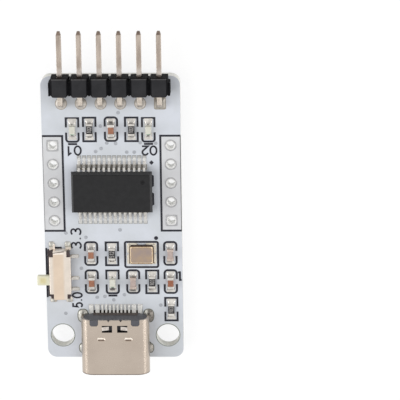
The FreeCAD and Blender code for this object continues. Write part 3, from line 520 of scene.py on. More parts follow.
def make_finishes(colours):
    """Every material of the module, by the name of its finish."""
    for make_group in (cloud_group, grain_group, axis_group, box_group):
        make_group()
    tin = {"grain": 1500, "bump": 0.006}
    dull = {"grain": 2500, "bump": 0.004}
    made = {
        "board": finish("White Mask", colours.mask, (204, 208, 213), 200, 0.34, 0.46, 2500, specular=0.4),
        "laminate": finish("Bare Laminate", (150, 154, 144), (126, 132, 122), 3000, 0.5, 0.7),
        "ink": finish("Black Ink", colours.ink, (48, 48, 56), 2500, 0.5, 0.7, specular=0.3),
        "via": finish("Via Mask", (177, 180, 186), (162, 165, 171), 2500, 0.35, 0.5),
        "tin": metal("Tinned Land", (214, 211, 208), (188, 185, 182), 2200, 0.25, 0.45, 3500, 0.004),
        # Near white: painted light in the barrels and under-face rings, as if light shone through the holes
        "plating": finish("Hole Plating And Painted Light", (255, 255, 253), (248, 248, 245), 2500, 0.3, 0.5, metallic=0.05),
        "solder": metal("Solder", (228, 224, 218), (198, 194, 188), 1500, 0.24, 0.42, **tin),
        "dull_solder": finish("Dull Solder", (217, 216, 213), (194, 193, 190), 2500, 0.3, 0.5,
                              metallic=0.4, **dull),
        "pin_solder": finish("Pin Solder", (223, 216, 206), (199, 191, 182), 2500, 0.3, 0.5, metallic=0.2,
                             **dull),
        "leg_solder": finish("Leg Solder", (204, 202, 194), (166, 163, 156), 1800, 0.3, 0.5, 1800, 0.005,
                             metallic=0.5),
        "crystal_solder": finish("Crystal Solder", (236, 228, 212), (214, 205, 188), 2500, 0.3, 0.5,
                                 metallic=0.35),
        # Painted shade for the gaps between the chip's leads near its body, on each side
        "header_gap_shade": finish("Header Side Gap Shade", (158, 152, 141), (134, 128, 118), 3000, 0.4, 0.6),
        "socket_gap_shade": finish("Socket Side Gap Shade", (158, 152, 142), (140, 134, 126), 3000, 0.4, 0.6),
        # Painted shade for the gaps between the socket's tails
        "shade": finish("Slot Shade", (46, 39, 35), (37, 31, 28), 3000, 0.6, 0.8, specular=0.2),
        # Painted shade on the lower rear face of the socket's moulding
        "rear_shade": finish("Rear Face Painted Shade", (96, 88, 84), (82, 74, 70), 3000, 0.5, 0.7, specular=0.2),
        # Dark rims round lands: their bare edge and painted shade where they meet the board
        "land_rim_and_shade": finish("Land Rim And Painted Shade", (128, 130, 122), (106, 108, 102), 3000, 0.5, 0.7, metallic=0.2),
        "land_edge": finish("Land Edge", (172, 164, 152), (150, 142, 132), 2500, 0.35, 0.55, metallic=0.6),
        "header": finish("Header Moulding", (48, 48, 50), (55, 55, 57), 900, 0.5, 0.7, 12000, 0.003,
                         specular=0.03),
        "pin": metal("Pin Tin", (196, 183, 171), (168, 155, 144), 1800, 0.22, 0.4, stretch=(1, 0.2, 1)),
        "epoxy": finish("Chip Epoxy", (32, 32, 33), (37, 37, 38), 1500, 0.5, 0.75, 16000, 0.004,
                        specular=0.25),
        "lead": metal("Lead Tin", (216, 213, 208), (190, 186, 180), 2500, 0.2, 0.38),
        "ceramic": finish("Crystal Ceramic", (72, 54, 44), (58, 44, 38), 1500, 0.45, 0.7),
        "seal": metal("Seal Ring", (158, 132, 104), (132, 108, 84), 2500, 0.2, 0.35),
        "lid": metal("Crystal Lid", (181, 158, 133), (164, 148, 140), 900, 0.3, 0.42, bump=0.0015),
        "switch_base": finish("Switch Moulding", (78, 66, 66), (64, 54, 54), 600, 0.4, 0.6, specular=0.3),
        "cover": metal("Switch Cover", colours.cover, (221, 202, 182), 400, 0.32, 0.45, bump=0.001),
        "seam": finish("Folded Seam", (70, 55, 46), (56, 44, 38), 3000, 0.5, 0.7),
        "knob": finish("Slider Moulding", colours.knob, (222, 219, 194), 600, 0.35, 0.5),
        "spring": metal("Spring Strip", (214, 170, 110), (196, 150, 92), 600, 0.2, 0.35),
        "shell": metal("Bright Nickel", colours.shell, (186, 173, 160), 260, 0.18, 0.28, 5000, 0.0012),
        "socket": finish("Socket Moulding", (80, 80, 85), (92, 92, 97), 600, 0.4, 0.6, specular=0.3),
        "contact": metal("Contact Plating", (232, 200, 130), (214, 178, 108), 600, 0.18, 0.3),
        "steel": metal("Mid Plate", (196, 195, 192), (176, 175, 172), 600, 0.25, 0.4),
        "led_base": finish("Diode Carrier", (232, 228, 216), (218, 214, 202), 2000, 0.3, 0.5),
        "resin": finish("Diode Resin", (217, 217, 206), (208, 206, 192), 2500, 0.12, 0.22),
        "cathode": finish("Cathode Mark", (150, 182, 158), (136, 166, 144), 3000, 0.4, 0.6),
        "resistor": finish("Resistor Glaze", (24, 24, 26), (34, 34, 36), 3000, 0.22, 0.4, specular=0.35),
        "code": finish("Code Paint", (166, 162, 160), (142, 139, 138), 3000, 0.5, 0.7),
        "brown": finish("Brown Ceramic", (168, 118, 94), (148, 102, 80), 3000, 0.4, 0.6, specular=0.35),
        "cap_end": metal("Capacitor End", (228, 224, 218), (198, 194, 188), 1500, 0.24, 0.42, **tin),
        "grey": finish("Grey Ceramic", (188, 171, 164), (174, 156, 149), 3000, 0.4, 0.6),
    }
    for shade in (shade_board, shade_header, shade_solder, shade_parts, shade_switch, shade_socket):
        shade(made)
    return made


def shade_board(made):
    """Pales the board's upright faces and the mask in the side holes' frames, and tones the plating's rings;
    the barrels keep a near white that is painted light.
    """
    board = made["board"]
    tree = board.node_tree
    skin = 0.05
    between = add_node(tree, "Math", operation="MULTIPLY")
    for entry, (axis, offset) in enumerate((((0, 0, 1), 0), ((0, 0, -1), BOARD_TOP))):
        tree.links.new(axis_mask(board, axis, skin / 2 - offset, skin - offset), between.inputs[entry])
    cover_zone(board, between.outputs["Value"], (233, 233, 227), (222, 221, 213), 4500)
    for side in (-1, 1):
        first, last = sorted((side * 6.4, side * BOARD_HIGH[0]))
        box_zone(board, (first, FRAME_END + 0.15, BOARD_TOP - 0.02), (last, FRAME_TOP - 0.08, BOARD_TOP + 1),
                 (214, 215, 217), (207, 207, 209), 300, 0.01)
    plating = made["plating"]
    # Below the board's top face the plating keeps the near white of painted light; above it the slopes and
    # then the flat ring tops get greyer tin tones
    axis_zone(plating, (0, 0, 1), BOARD_TOP - 0.02, BOARD_TOP, (234, 233, 231), (222, 221, 219))
    axis_zone(plating, (0, 0, 1), BOARD_TOP + 0.012, BOARD_TOP + 0.03, (182, 182, 183), (162, 162, 164))


def shade_header(made):
    """Paints shade on the header's front and on the slopes between its segments, a highlight along its
    front's top edge and the pins' reflection on its front, and tones its pins, with painted light on them
    next to the header.
    """
    header, pin = made["header"], made["pin"]
    low, high = node_box("header_housing")
    rear, front, top = low[1], high[1], high[2]
    places = [node_middle(name)[0] for name in PINS]
    pitch = places[1] - places[0]
    # Painted shade on the sloped sides between the segments
    slope = 0.38
    for x in [places[0] - pitch / 2] + [place + pitch / 2 for place in places]:
        box_zone(header, (x - slope, rear - 1, -1), (x + slope, front + 1, top + 1), (18, 18, 20),
                 (25, 25, 27), margin=0.06)
    # Painted highlight along the top edge of the front
    box_zone(header, (low[0] - 1, front - 0.2, top - 0.06), (high[0] + 1, front - 0.07, top + 0.1),
             (96, 94, 94), (74, 72, 72))
    # Painted shade on the front face
    axis_zone(header, (0, 1, 0), front - 0.07, front - 0.03, (10, 10, 12), (16, 15, 17))
    pin_z = node_middle(PINS[0])[2]
    # Painted reflection of each pin on the front face round its root
    for x in places:
        box_zone(header, (x - 0.4, front - 0.05, pin_z - 1.2), (x + 0.4, front + 0.1, top - 0.1),
                 (52, 36, 26), (40, 28, 22), margin=0.12)
    tip = node_box(PINS[0])[1][1] - 0.5
    axis_zone(pin, (0, 1, 0), tip, tip + 0.08, (141, 125, 113), (111, 98, 90))
    # Painted light on the pins just in front of the header, where it shades them
    box_zone(pin, (-9, front - 0.3, 0), (9, front + 1.3, 5), (208, 198, 189), (190, 180, 172), 1800, 0.6)
    # Painted light on the pins behind the header, over their bends
    axis_zone(pin, (0, -1, 0), 0.1 - rear, 0.3 - rear, (218, 208, 196), (196, 185, 173))
    axis_zone(pin, (0, 0, -1), -BOARD_TOP - 0.95, -BOARD_TOP - 0.8, (158, 144, 128), (128, 114, 100), 3000)


def shade_solder(made):
    """Darkens the solder at the chip's header-side land ends with a painted reflection of the header, at the
    socket's right legs with painted shade, and at the last pin.
    """
    land_end = node_middle("chip_body")[1] + CHIP_LAND_END
    # Painted reflection of the dark header in the solder at the header-side land ends
    box_zone(made["dull_solder"], (-5, land_end - 0.26, 1), (5, land_end + 0.2, 3), (178, 179, 180),
             (160, 161, 162), margin=0.06)
    legs = made["leg_solder"]
    # Painted shade on the solder of the socket's right legs, deeper at the rear one
    axis_zone(legs, (1, 0, 0), 4.2, 4.7, (174, 169, 160), (136, 130, 122))
    box_zone(legs, (4.2, 1, -1), (6, 5, 5), (138, 132, 124), (92, 86, 80), margin=0.3)
    axis_zone(made["pin_solder"], (1, 0, 0), 5.4, 5.5, (180, 173, 162), (154, 147, 136), 3000)


def shade_parts(made):
    """Paints a highlight on the chip's sloped sides, and tones its round mark, the crystal's seal and single
    capacitors.
    """
    chip, seal = made["epoxy"], made["seal"]
    high = node_box("chip_body")[1]
    top = high[2]
    # Painted highlight on the chip's sloped sides
    axis_zone(chip, (0, 0, -1), 0.12 - top, 0.16 - top, (62, 62, 63), (56, 56, 57))
    mark_x, mark_y = high[:2] - 1.18
    reach = 0.17
    box_zone(chip, (mark_x - reach, mark_y - reach, top - 0.2), (mark_x + reach, mark_y + reach, top + 0.01),
             (12, 12, 13), (16, 16, 17), margin=0.06)
    low, high = node_box("crystal_ring")
    axis_zone(seal, (0, 1, 0), high[1] - 0.03, high[1] - 0.015, (78, 60, 48), (64, 48, 40))
    inset = np.array((0.07, 0.07, -0.05))
    box_zone(seal, low + inset, high - inset, (250, 230, 200), (238, 214, 180))
    reach = np.array((0.1, 0.6, 0.1))
    for name in ("capacitor_3", "capacitor_5"):
        low, high = node_box(name)
        box_zone(made["cap_end"], low - reach, high + reach, (206, 190, 180), (188, 172, 162))
    low, high = node_box("capacitor_6")
    box_zone(made["brown"], low - 0.1, high + 0.1, (158, 104, 80), (140, 90, 68), 3000)


def shade_switch(made):
    """Paints light on the cover's folded sides and a highlight at its end, tones its feet, and yellows the
    middle of the knob.
    """
    cover = made["cover"]
    low, high = node_box("switch_cover")
    middle_x = node_middle("switch_base")[0]
    end = node_box("switch_base")[1][1]
    # Painted highlight at the cover's header end
    axis_zone(cover, (0, 1, 0), end - 0.34, end - 0.22, (250, 240, 229), (242, 230, 217), 1500)
    for side in (-1, 1):
        first, second = sorted((middle_x + side * 0.55, middle_x + side * 1.9))
        # Painted light on the folded sides, where their rounding catches light
        box_zone(cover, (first, low[1] - 1, 0), (second, high[1] + 1, 5), (232, 221, 209), (224, 214, 202),
                 600, 0.3)
        first, second = sorted((middle_x + side * 0.72, middle_x + side * 2.5))
        box_zone(cover, (first, high[1] - 0.5, 0), (second, high[1] + 1, 5), (184, 181, 167),
                 (160, 157, 144), margin=0.1)
    knob_x = node_box("switch_slider")[0][0]
    knob_y = node_middle("switch_slider")[1]
    reach = 0.62
    box_zone(made["knob"], (knob_x + 0.15, knob_y - reach, 0), (knob_x + 1.4, knob_y + reach, 5),
             (219, 209, 164), (211, 201, 157), margin=0.4)


def shade_socket(made):
    """Paints shade on the shell's front edge, light on its bent fingers and a highlight over shade in its
    dimples, darkens the hollow moulding, and pales the tails as tin and as painted light.
    """
    shell, contact = made["shell"], made["contact"]
    low, high = node_box("socket_shell")
    middle_x = (low[0] + high[0]) / 2
    front, rear, top = low[1], high[1], high[2]
    # Painted shade along the shell's rounded front edge
    axis_zone(shell, (0, -1, 0), -front - 0.14, -front - 0.09, (132, 118, 108), (118, 104, 94))
    for side in (-1, 1):
        window = middle_x + side * 1.35
        # Painted light on the bent fingers in the windows
        box_zone(shell, (window - 0.62, rear - 1.75, top - 0.6), (window + 0.62, rear - 0.6, top - 0.03),
                 (222, 214, 206), (196, 187, 179), 3000)
        dimple = middle_x + side * 1.78
        # Painted highlight on the upper half of each dimple and painted shade on the lower half
        for half, near, far, *tones in ((0.5, -2.65, -2.3, (255, 246, 234), (246, 232, 216)),
                                        (0.45, -2.87, -2.67, (136, 118, 104), (120, 104, 92))):
            box_zone(shell, (dimple - half, rear + near, top - 0.2), (dimple + half, rear + far, top - 0.004),
                     *tones)
    # The tails are paler and duller than the contacts: their tin, lifted further by painted light
    tails = axis_mask(contact, (0, 1, 0), rear - 0.9, rear - 0.8)
    cover_zone(contact, tails, (250, 249, 244), (236, 235, 230))
    tree = contact.node_tree
    dull = add_node(tree, "MapRange", {"To Min": 1.0, "To Max": 0.25})
    tree.links.new(tails, dull.inputs["Value"])
    wire(tree, (dull, "Result", tree.nodes["Principled BSDF"], "Metallic"))
    box_zone(made["socket"], (-5, front + 0.3, 0), (5, rear - 1.6, 5), (26, 23, 22), (20, 18, 18), 3000)


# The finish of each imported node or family, and the width in millimetres of its soft edge
DRESS = {
    "circuit_board": ("board", 0.03), "surface_pads": ("tin", 0), "header_housing": ("header", 0.07),
    "header_pin": ("pin", 0.05), "header_solder": ("solder", 0), "chip_body": ("epoxy", 0.1),
    "chip_leads_header_side": ("lead", 0.02), "chip_leads_socket_side": ("lead", 0.02),
    "crystal_base": ("ceramic", 0.03), "crystal_ring": ("seal", 0.02), "crystal_lid": ("lid", 0.02),
    "switch_base": ("switch_base", 0.03), "switch_cover": ("cover", 0.03),
    "switch_contacts": ("lead", 0.02), "switch_slider": ("knob", 0.08), "switch_wiper": ("spring", 0),
    "socket_shell": ("shell", 0.04), "socket_housing": ("socket", 0.04),
    "socket_contacts": ("contact", 0.015), "socket_mid_plate": ("steel", 0),
    "socket_solder": ("solder", 0), "led_base": ("led_base", 0.03), "led_lens": ("resin", 0.03),
    "resistor": ("resistor", 0.03), "resistor_terminals": ("solder", 0.03),
    "capacitor": ("brown", 0.04), "capacitor_3": ("grey", 0.04), "capacitor_5": ("grey", 0.04),
    "capacitor_caps": ("cap_end", 0.06),
}


def dress_of(node):
    """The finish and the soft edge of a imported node, by its own name or by its family's."""
    family = "_".join(word for word in node.split("_") if not word.isdigit())
    return DRESS.get(node) or DRESS[family]


class MODULE_OT_finishes(bpy.types.Operator):
    """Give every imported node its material"""

    bl_idname = "module.finishes"
    bl_label = "Finishes"

    def execute(self, context):
        made = make_finishes(context.scene.module_colours)
        for name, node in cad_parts.items():
            node.material_slots[0].material = made[dress_of(name)[0]]
        return {"FINISHED"}


def softened(node, width):
    """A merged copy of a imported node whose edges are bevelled, in the node's place."""
    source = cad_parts[node]
    work = bmesh.new()
    work.from_mesh(source.data)
    bmesh.ops.remove_doubles(work, verts=work.verts, dist=1e-7)
    bmesh.ops.dissolve_limit(work, angle_limit=math.radians(0.4), verts=work.verts, edges=work.edges)
    mesh = bpy.data.meshes.new(node + "_soft")
    work.to_mesh(mesh)
    work.free()
    mesh.shade_smooth()
    mesh.set_sharp_from_angle(angle=math.radians(35))
    mesh.materials.clear()
    mesh.materials.append(source.material_slots[0].material)
    piece = bpy.data.objects.new(node + "_soft", mesh)
    bpy.context.scene.collection.objects.link(piece)
    bevel = piece.modifiers.new("Soft Edges", "BEVEL")
    bevel.width = width * METRE
    bevel.segments = 2
    bevel.limit_method = "ANGLE"
    bevel.angle_limit = math.radians(28)
    bevel.harden_normals = True
    bevel.use_clamp_overlap = True
    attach(piece, "slider" if node == "switch_slider" else "module")
    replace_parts(piece, node)


class MODULE_OT_softened(bpy.types.Operator):
    """Round the edges of the moulded, folded and formed parts"""

    bl_idname = "module.softened"
    bl_label = "Softened Edges"

    def execute(self, context):
        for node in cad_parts:
            width = dress_of(node)[1]
            if width:
                softened(node, width)
        return {"FINISHED"}


# Printed ink


def bracket_paths(x, y, corner, end_corner):
    """The two brackets round a small part, the upper one and the lower one.

    A corner of no size is square, and a larger one is a quarter circle.
    """
    half_x, half_y, gap = 0.8, 1.57, 0.7
    paths = []
    for sign, radius in ((1, corner), (-1, end_corner)):
        right = np.array([(half_x, half_y)])
        if radius > 0:
            right = arc((half_x - radius, half_y - radius), (radius, radius), 0, 90, 6)
        left = right[::-1] * (-1, 1)
        path = np.concatenate(([(half_x, gap / 2)], right, left, [(-half_x, gap / 2)]))
        paths.append(path * (1, sign) + (x, y))
    return paths


def digit_paths(character):
    """The strokes of a number in a box that is one wide and one high, with whether each is closed."""
    strokes = {
        "0": [(arc((0.5, 0.5), (0.5, 0.5), 0, 345, 23), True)],
        "1": [([(0.2, 0.76), (0.62, 1.0), (0.62, 0.0)], False)],
        "2": [(np.concatenate((arc((0.48, 0.7), (0.44, 0.3), 165, -35, 12), [(0.04, 0), (0.96, 0)])), False)],
        "3": [(arc((0.46, 0.76), (0.42, 0.24), 150, -90, 12), False),
              (arc((0.46, 0.27), (0.48, 0.27), 90, -150, 12), False)],
        "5": [(np.concatenate(([(0.88, 1), (0.2, 1), (0.12, 0.53)],
                               arc((0.46, 0.31), (0.46, 0.31), 125, -145, 12))), False)],
        ".": [([(0.5, 0.0), (0.5, 0.12)], False)],
    }
    return strokes[character]


def number_paths(text, centre, height, length, turn):
    """The strokes of a printed number, which shares its length evenly and is turned about its middle."""
    widths = np.array([0.4 if character == "." else 1.0 for character in text])
    gap = 0.32
    unit = length / (widths.sum() + gap * (len(text) - 1))
    angle = math.radians(turn)
    spin = np.array([[math.cos(angle), math.sin(angle)], [-math.sin(angle), math.cos(angle)]])
    paths = []
    start = -length / 2
    for character, width in zip(text, widths):
        for stroke, closed in digit_paths(character):
            placed = np.asarray(stroke) * (width * unit, height) + (start, -height / 2)
            paths.append((placed @ spin + centre, closed))
        start += (width + gap) * unit
    return paths


class MODULE_OT_ink(bpy.types.Operator):
    """Print the part outlines, marks and plain numbers on the board"""

    bl_idname = "module.ink"
    bl_label = "Printed Ink"

    def execute(self, context):
        sizes = context.scene.module_sizes
        line = sizes.ink_line / METRE
        bottom = BOARD_TOP - 0.01
        top = BOARD_TOP + sizes.ink_height / METRE
        solids = []

        def draw(path, width=line, closed=False):
            solids.append(ribbon(path, width, bottom, top, closed))

        for names, drop, corners in ((RESISTORS, 0.04, (0, 0)), (CAPACITORS, 0, (0.42, 0.42)),
                                     (LEDS, 0.1, (0, 0.35))):
            for name in names:
                x, y, _ = node_middle(name)
                y -= 0.04 if name == LEDS[-1] else drop
                for path in bracket_paths(x, y, *corners):
                    draw(path)
                if names is LEDS:
                    draw([(x - 0.58, y - 1.89), (x + 0.58, y - 1.89)])
        bend = 0.2
        middle = node_middle("crystal_base")[:2] - (0.02, 0.123)
        reach = np.array((2.153, 1.731)) - bend
        quarters = [arc(middle + reach * signs, (bend, bend), start, start + 90, 3)
                    for signs, start in (((1, 1), 0), ((-1, 1), 90), ((-1, -1), 180), ((1, -1), 270))]
        draw(np.concatenate(quarters), closed=True)
        for side, rim_width in ((-1, 0.035), (1, 0.075)):
            edge = side * (BOARD_HIGH[0] - 0.02)
            inner = side * 6.32
            draw([(edge, FRAME_TOP), (inner, FRAME_TOP), (inner, FRAME_END), (edge, FRAME_END)])
            rim = side * (BOARD_HIGH[0] - 0.055)
            draw([(rim, FRAME_END), (rim, FRAME_TOP)], rim_width)
        edge_line_x = BOARD_LOW[0] + 0.15
        draw([(edge_line_x, 12.1), (edge_line_x, 5.3)])
        for number in (("01", (-4.9, 25.33), 1.15, 1.9, 180), ("02", (4.87, 25.3), 1.15, 1.9, 180),
                       ("3.3", (-4.88, 13.39), 1.25, 2.8, 90), ("5.0", (-4.9, 4.89), 1.2, 2.0, 90)):
            for path, closed in number_paths(*number):
                draw(path, 0.85 * line, closed)
        section = [(1, bottom), (1, top), (0, top), (0, bottom)]
        for dot, radius, columns in (((5.13, 23.68), 0.3, 4), ((5.56, 13.43), 0.26, 20)):
            solids.append(turned(section, dot, CORE, round_outline(radius), columns))
        for y, half in ((21.22, 0.75), (18.75, 0.8)):
            draw([(5.1, y - half), (5.28, y - half + 0.12), (5.28, y + half - 0.12), (5.1, y + half)], 0.25)
        draw([(-8.2, 12.14), (-6.78, 12.14)], 0.25)
        draw([(8.36, 8.72), (8.6, 8.72), (8.6, 7.66), (8.82, 7.66)])
        build_piece("printed_ink", solids, "Black Ink")
        return {"FINISHED"}


class MODULE_OT_part_codes(bpy.types.Operator):
    """Print a plain number on each resistor"""

    bl_idname = "module.part_codes"
    bl_label = "Part Codes"

    def execute(self, context):
        solids = []
        for name, text in zip(RESISTORS, ("102", "102", "512", "103", "103")):
            x, y, _ = node_middle(name)
            top = node_box(name)[1][2]
            solids += [ribbon(path, 0.085, top - 0.01, top + 0.008, closed)
                       for path, closed in number_paths(text, (x, y), 0.5, 0.8, 90)]
        build_piece("part_codes", solids, "Code Paint")
        return {"FINISHED"}


# Plated holes, rims and vias


class MODULE_OT_plating(bpy.types.Operator):
    """Line the drilled holes with tinned barrels and rings, the barrels near white with painted light"""

    bl_idname = "module.plating"
    bl_label = "Plated Holes"

    def execute(self, context):
        sizes = context.scene.module_sizes
        ring = sizes.ring_radius / METRE
        bore = sizes.barrel_radius / METRE
        drill = 0.5
        row_x, row_y, pitch = 7.62, 20.91, 2.54
        drilled = (drill - bore) / (ring - bore)
        proud = PAD_TOP - BOARD_TOP
        section = [(drilled, 0), (1, 0), (0.95, proud - 0.003), (0.9, proud), (0.5, proud), (0.36, 0.008),
                   (0.1, 0.004)]
        profile = [(share, BOARD_TOP + height) for share, height in section]
        profile += [(0, BOARD_TOP - 0.03), (0, 0.03)]
        profile += [(share, -height) for share, height in reversed(section)]
        for name, x, square_index in (("left_row_plating", -row_x, 4), ("right_row_plating", row_x, 0)):
            solids = []
            for index in range(5):
                rim = square_outline(ring) if index == square_index else round_outline(ring)
                centre = (x, row_y + (index - 2) * pitch)
                solids.append(turned(profile, centre, round_outline(bore), rim))
            build_piece(name, solids, "Hole Plating And Painted Light")
        return {"FINISHED"}


class MODULE_OT_hole_rims(bpy.types.Operator):
    """Show bare laminate round the mounting holes"""

    bl_idname = "module.hole_rims"
    bl_label = "Hole Rims"

    def execute(self, context):
        hole_x = 6.93
        hole = 1.5
        skin = 0.006
        inner = round_outline(hole + 0.01)
        outer = round_outline(hole + context.scene.module_sizes.rim_width / METRE)
        section = [(0, -skin), (1, -skin), (0.9, skin), (0.1, skin)]
        solids = []
        for x in (-hole_x, hole_x):
            solids += on_both_faces(section, (x, 0), inner, outer, 64)
        build_piece("hole_rims", solids, "Bare Laminate")
        return {"FINISHED"}


class MODULE_OT_vias(bpy.types.Operator):
    """Cover the small vias with dimpled mask"""

    bl_idname = "module.vias"
    bl_label = "Covered Vias"

    def execute(self, context):
        outer = round_outline(context.scene.module_sizes.via_radius / METRE)
        places = [(0.95, 30.37), (-1.36, 28.59), (-0.59, 26.33), (0.55, 26.26), (-1.33, 25.58),
                  (-2.04, 25.19), (1.96, 25.09), (2.93, 25.08), (3.72, 26.37), (5.73, 26.27),
                  (-6.19, 14.15), (-3.59, 13.54), (0.88, 14.57), (-4.27, 9.29), (-2.3, 5.27),
                  (-1.28, 5.39), (1.29, 5.62), (-0.12, 4.92), (-6.49, 3.04), (6.02, 4.17)]
        section = [(0, -0.01), (1, -0.01), (0.94, 0.012), (0.72, 0.022), (0.5, 0.012), (0.25, 0.002),
                   (0, 0.001)]
        solids = []
        for place in places:
            solids += on_both_faces(section, place, CORE, outer, 20)
        build_piece("covered_vias", solids, "Via Mask")
        return {"FINISHED"}


# Solder


def solder_piece(name, solids, finish_name="Solder", sharp_angle=60):
    """A piece of smooth solder."""
    return build_piece(name, solids, finish_name, sharp_angle=sharp_angle)


def land_edges(name, lands, finish_name, overlap, width, inner_share):
    """The edges of lands, which show round their solder on both faces of the board: bare land, and in the
    darker finish also painted shade where the land meets the board.
    """
    section = [(0, -0.01), (1, -0.01), (0.85, 0.03), (inner_share, 0.03)]
    solids = []
    for centre, half_x, half_y, power in lands:
        solids += on_both_faces(section, centre, outline(half_x - overlap, half_y - overlap, power),
                                outline(half_x + width, half_y + width, power))
    build_piece(name, solids, finish_name)


class MODULE_OT_header_joints(bpy.types.Operator):
    """Solder the header pins with smooth hollow cones"""

    bl_idname = "module.header_joints"
    bl_label = "Header Joints"

    def execute(self, context):
        row_y = node_middle("header_solder")[1]
        above = [(0, 0.62), (0.1, 0.6), (0.22, 0.44), (0.42, 0.24), (0.7, 0.12), (0.94, 0.06), (1, 0)]
        below = [(1, 0), (0.94, -0.06), (0.7, -0.14), (0.42, -0.3), (0.22, -0.55), (0.1, -0.68), (0, -0.7)]
        lands = [((node_middle(name)[0], row_y), 0.69, 0.75, 12 if name == PINS[-1] else 2)
                 for name in PINS]
        solids = [through_joint(above, 0.42, below, centre, square_outline(0.3), outline(*shape))
                  for centre, *shape in lands]
        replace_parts(solder_piece("header_joints", solids, "Pin Solder"), "header_solder")
        land_edges("header_land_edges", lands, "Land Edge", 0.02, 0.08, 0.1)
        return {"FINISHED"}


class MODULE_OT_chip_joints(bpy.types.Operator):
    """Solder the chip's leads to their lands"""

    bl_idname = "module.chip_joints"
    bl_label = "Chip Joints"

    def execute(self, context):
        solids = []
        edges = []
        chip_x, chip_y, _ = node_middle("chip_body")
        toe = node_box("chip_leads_header_side")[1][1] - chip_y
        leads = 14
        lead_pitch = 0.65
        rim = 0.05
        half_x = 0.21 + rim
        for side in (-1, 1):
            along = sorted((chip_y + side * (toe + 0.3), chip_y + side * (CHIP_LAND_END + rim)))
            for index in range(leads):
                x = chip_x + (index - (leads - 1) / 2) * lead_pitch
                edges.append(slab((x - half_x, x + half_x), along, BOARD_TOP - 0.01, BOARD_TOP + 0.01))
                solids.append(pillow((x, chip_y + side * (toe - 0.19)), 0.2, 0.86, 0.05))
                solids.append(fillet((x, chip_y + side * (toe - 0.02)), side, 0.6, 0.15, 0.18, 0.11))
        solder_piece("chip_joints", solids, "Dull Solder")
        # Dark rims round the lands: their bare edge and painted shade where they meet the board
        build_piece("chip_land_edges", edges, "Land Rim And Painted Shade")
        # Painted shade on the board between the leads, near the chip's body
        half_row = 4.55
        for name, near, far, tone in (("header_side_gap_shade", 2.7, 3.42, "Header Side Gap Shade"),
                                      ("socket_side_gap_shade", -3.2, -2.7, "Socket Side Gap Shade")):
            strip = slab((chip_x - half_row, chip_x + half_row), (chip_y + near, chip_y + far),
                         BOARD_TOP - 0.01, PAD_TOP - 0.012)
            build_piece(name, [strip], tone)
        return {"FINISHED"}


class MODULE_OT_part_joints(bpy.types.Operator):
    """Solder both ends of the resistors, capacitors and diodes"""

    bl_idname = "module.part_joints"
    bl_label = "Part Joints"

    def execute(self, context):
        solids = []
        for names, height in ((RESISTORS, 0.32), (CAPACITORS, 0.5), (LEDS, 0.24)):
            for name in names:
                x, y, _ = node_middle(name)
                solids += [fillet((x, y + side * 0.79), side, 0.62, 0.46, 0.57, height) for side in (-1, 1)]
        solder_piece("part_joints", solids)
        return {"FINISHED"}


class MODULE_OT_crystal_joints(bpy.types.Operator):
    """Solder the crystal at its four notched corners"""

    bl_idname = "module.crystal_joints"
    bl_label = "Crystal Joints"

    def execute(self, context):
        solids = []
        middle = node_middle("crystal_base")[:2]
        for signs in ((-1, -1), (-1, 1), (1, -1), (1, 1)):
            land = middle + np.array((1.19, 0.74)) * signs
            solids.append(pillow(land, 0.72, 0.71, 0.12, BOARD_TOP + 0.02, 8, 40))
            corner = middle + np.array((1.6, 1.25)) * signs
            solids.append(pillow(corner, 0.16, 0.16, 0.4, power=2))
        solder_piece("crystal_joints", solids, "Crystal Solder")
        return {"FINISHED"}


class MODULE_OT_switch_joints(bpy.types.Operator):
    """Solder the switch's feet and leads"""

    bl_idname = "module.switch_joints"
    bl_label = "Switch Joints"

    def execute(self, context):
        solids = []
        low, high = node_box("switch_cover")
        for x in (low[0] + 0.35, high[0] - 0.35):
            solids.append(pillow((x, low[1] + 0.22), 0.44, 0.34, 0.26))
            solids.append(pillow((x - 0.08, high[1] - 0.1), 0.38, 0.42, 0.26))
        lead_end = node_box("switch_contacts")[1][0]
        middle_y = (low[1] + high[1]) / 2
        for offset in (2.25, -0.75, -2.25):
            solids.append(pillow((lead_end - 0.42, middle_y + offset), 0.5, 0.27, 0.1))
        solder_piece("switch_joints", solids, "Leg Solder")
        return {"FINISHED"}


class MODULE_OT_tail_joints(bpy.types.Operator):
    """Solder the tails of the socket's contacts to their lands, and paint shade into the gaps behind them"""

    bl_idname = "module.tail_joints"
    bl_label = "Tail Joints"

    def execute(self, context):
        solids = []
        socket_x = node_middle("socket_shell")[0]
        tail_end = node_box("socket_contacts")[1][1]
        for place, half_x in ((0.25, 0.15), (0.75, 0.15), (1.25, 0.15), (1.75, 0.15), (2.4, 0.3), (3.2, 0.3)):
            for x in (socket_x - place, socket_x + place):
                solids.append(pillow((x, tail_end - 0.36), half_x, 0.5, 0.1))
                solids.append(fillet((x, tail_end - 0.02), 1, 0.14, half_x - 0.03, half_x, 0.1, 5))
        solder_piece("tail_joints", solids, "Dull Solder")
        rear = node_box("socket_shell")[1][1]
        # Painted shade: a dark strip on the board between the tails, and a dark panel on the moulding's rear
        # face
        for name, half, reach, bottom, top, tone in (
                ("tail_gap_shade", 3.48, 0.33, BOARD_TOP - 0.01, PAD_TOP + 0.035, "Slot Shade"),
                ("rear_face_shade", 2.9, 0.012, PAD_TOP + 0.12, PAD_TOP + 1.0, "Rear Face Painted Shade")):
            panel = slab((socket_x - half, socket_x + half), (rear - 0.02, rear + reach), bottom, top)
            build_piece(name, [panel], tone)
        return {"FINISHED"}


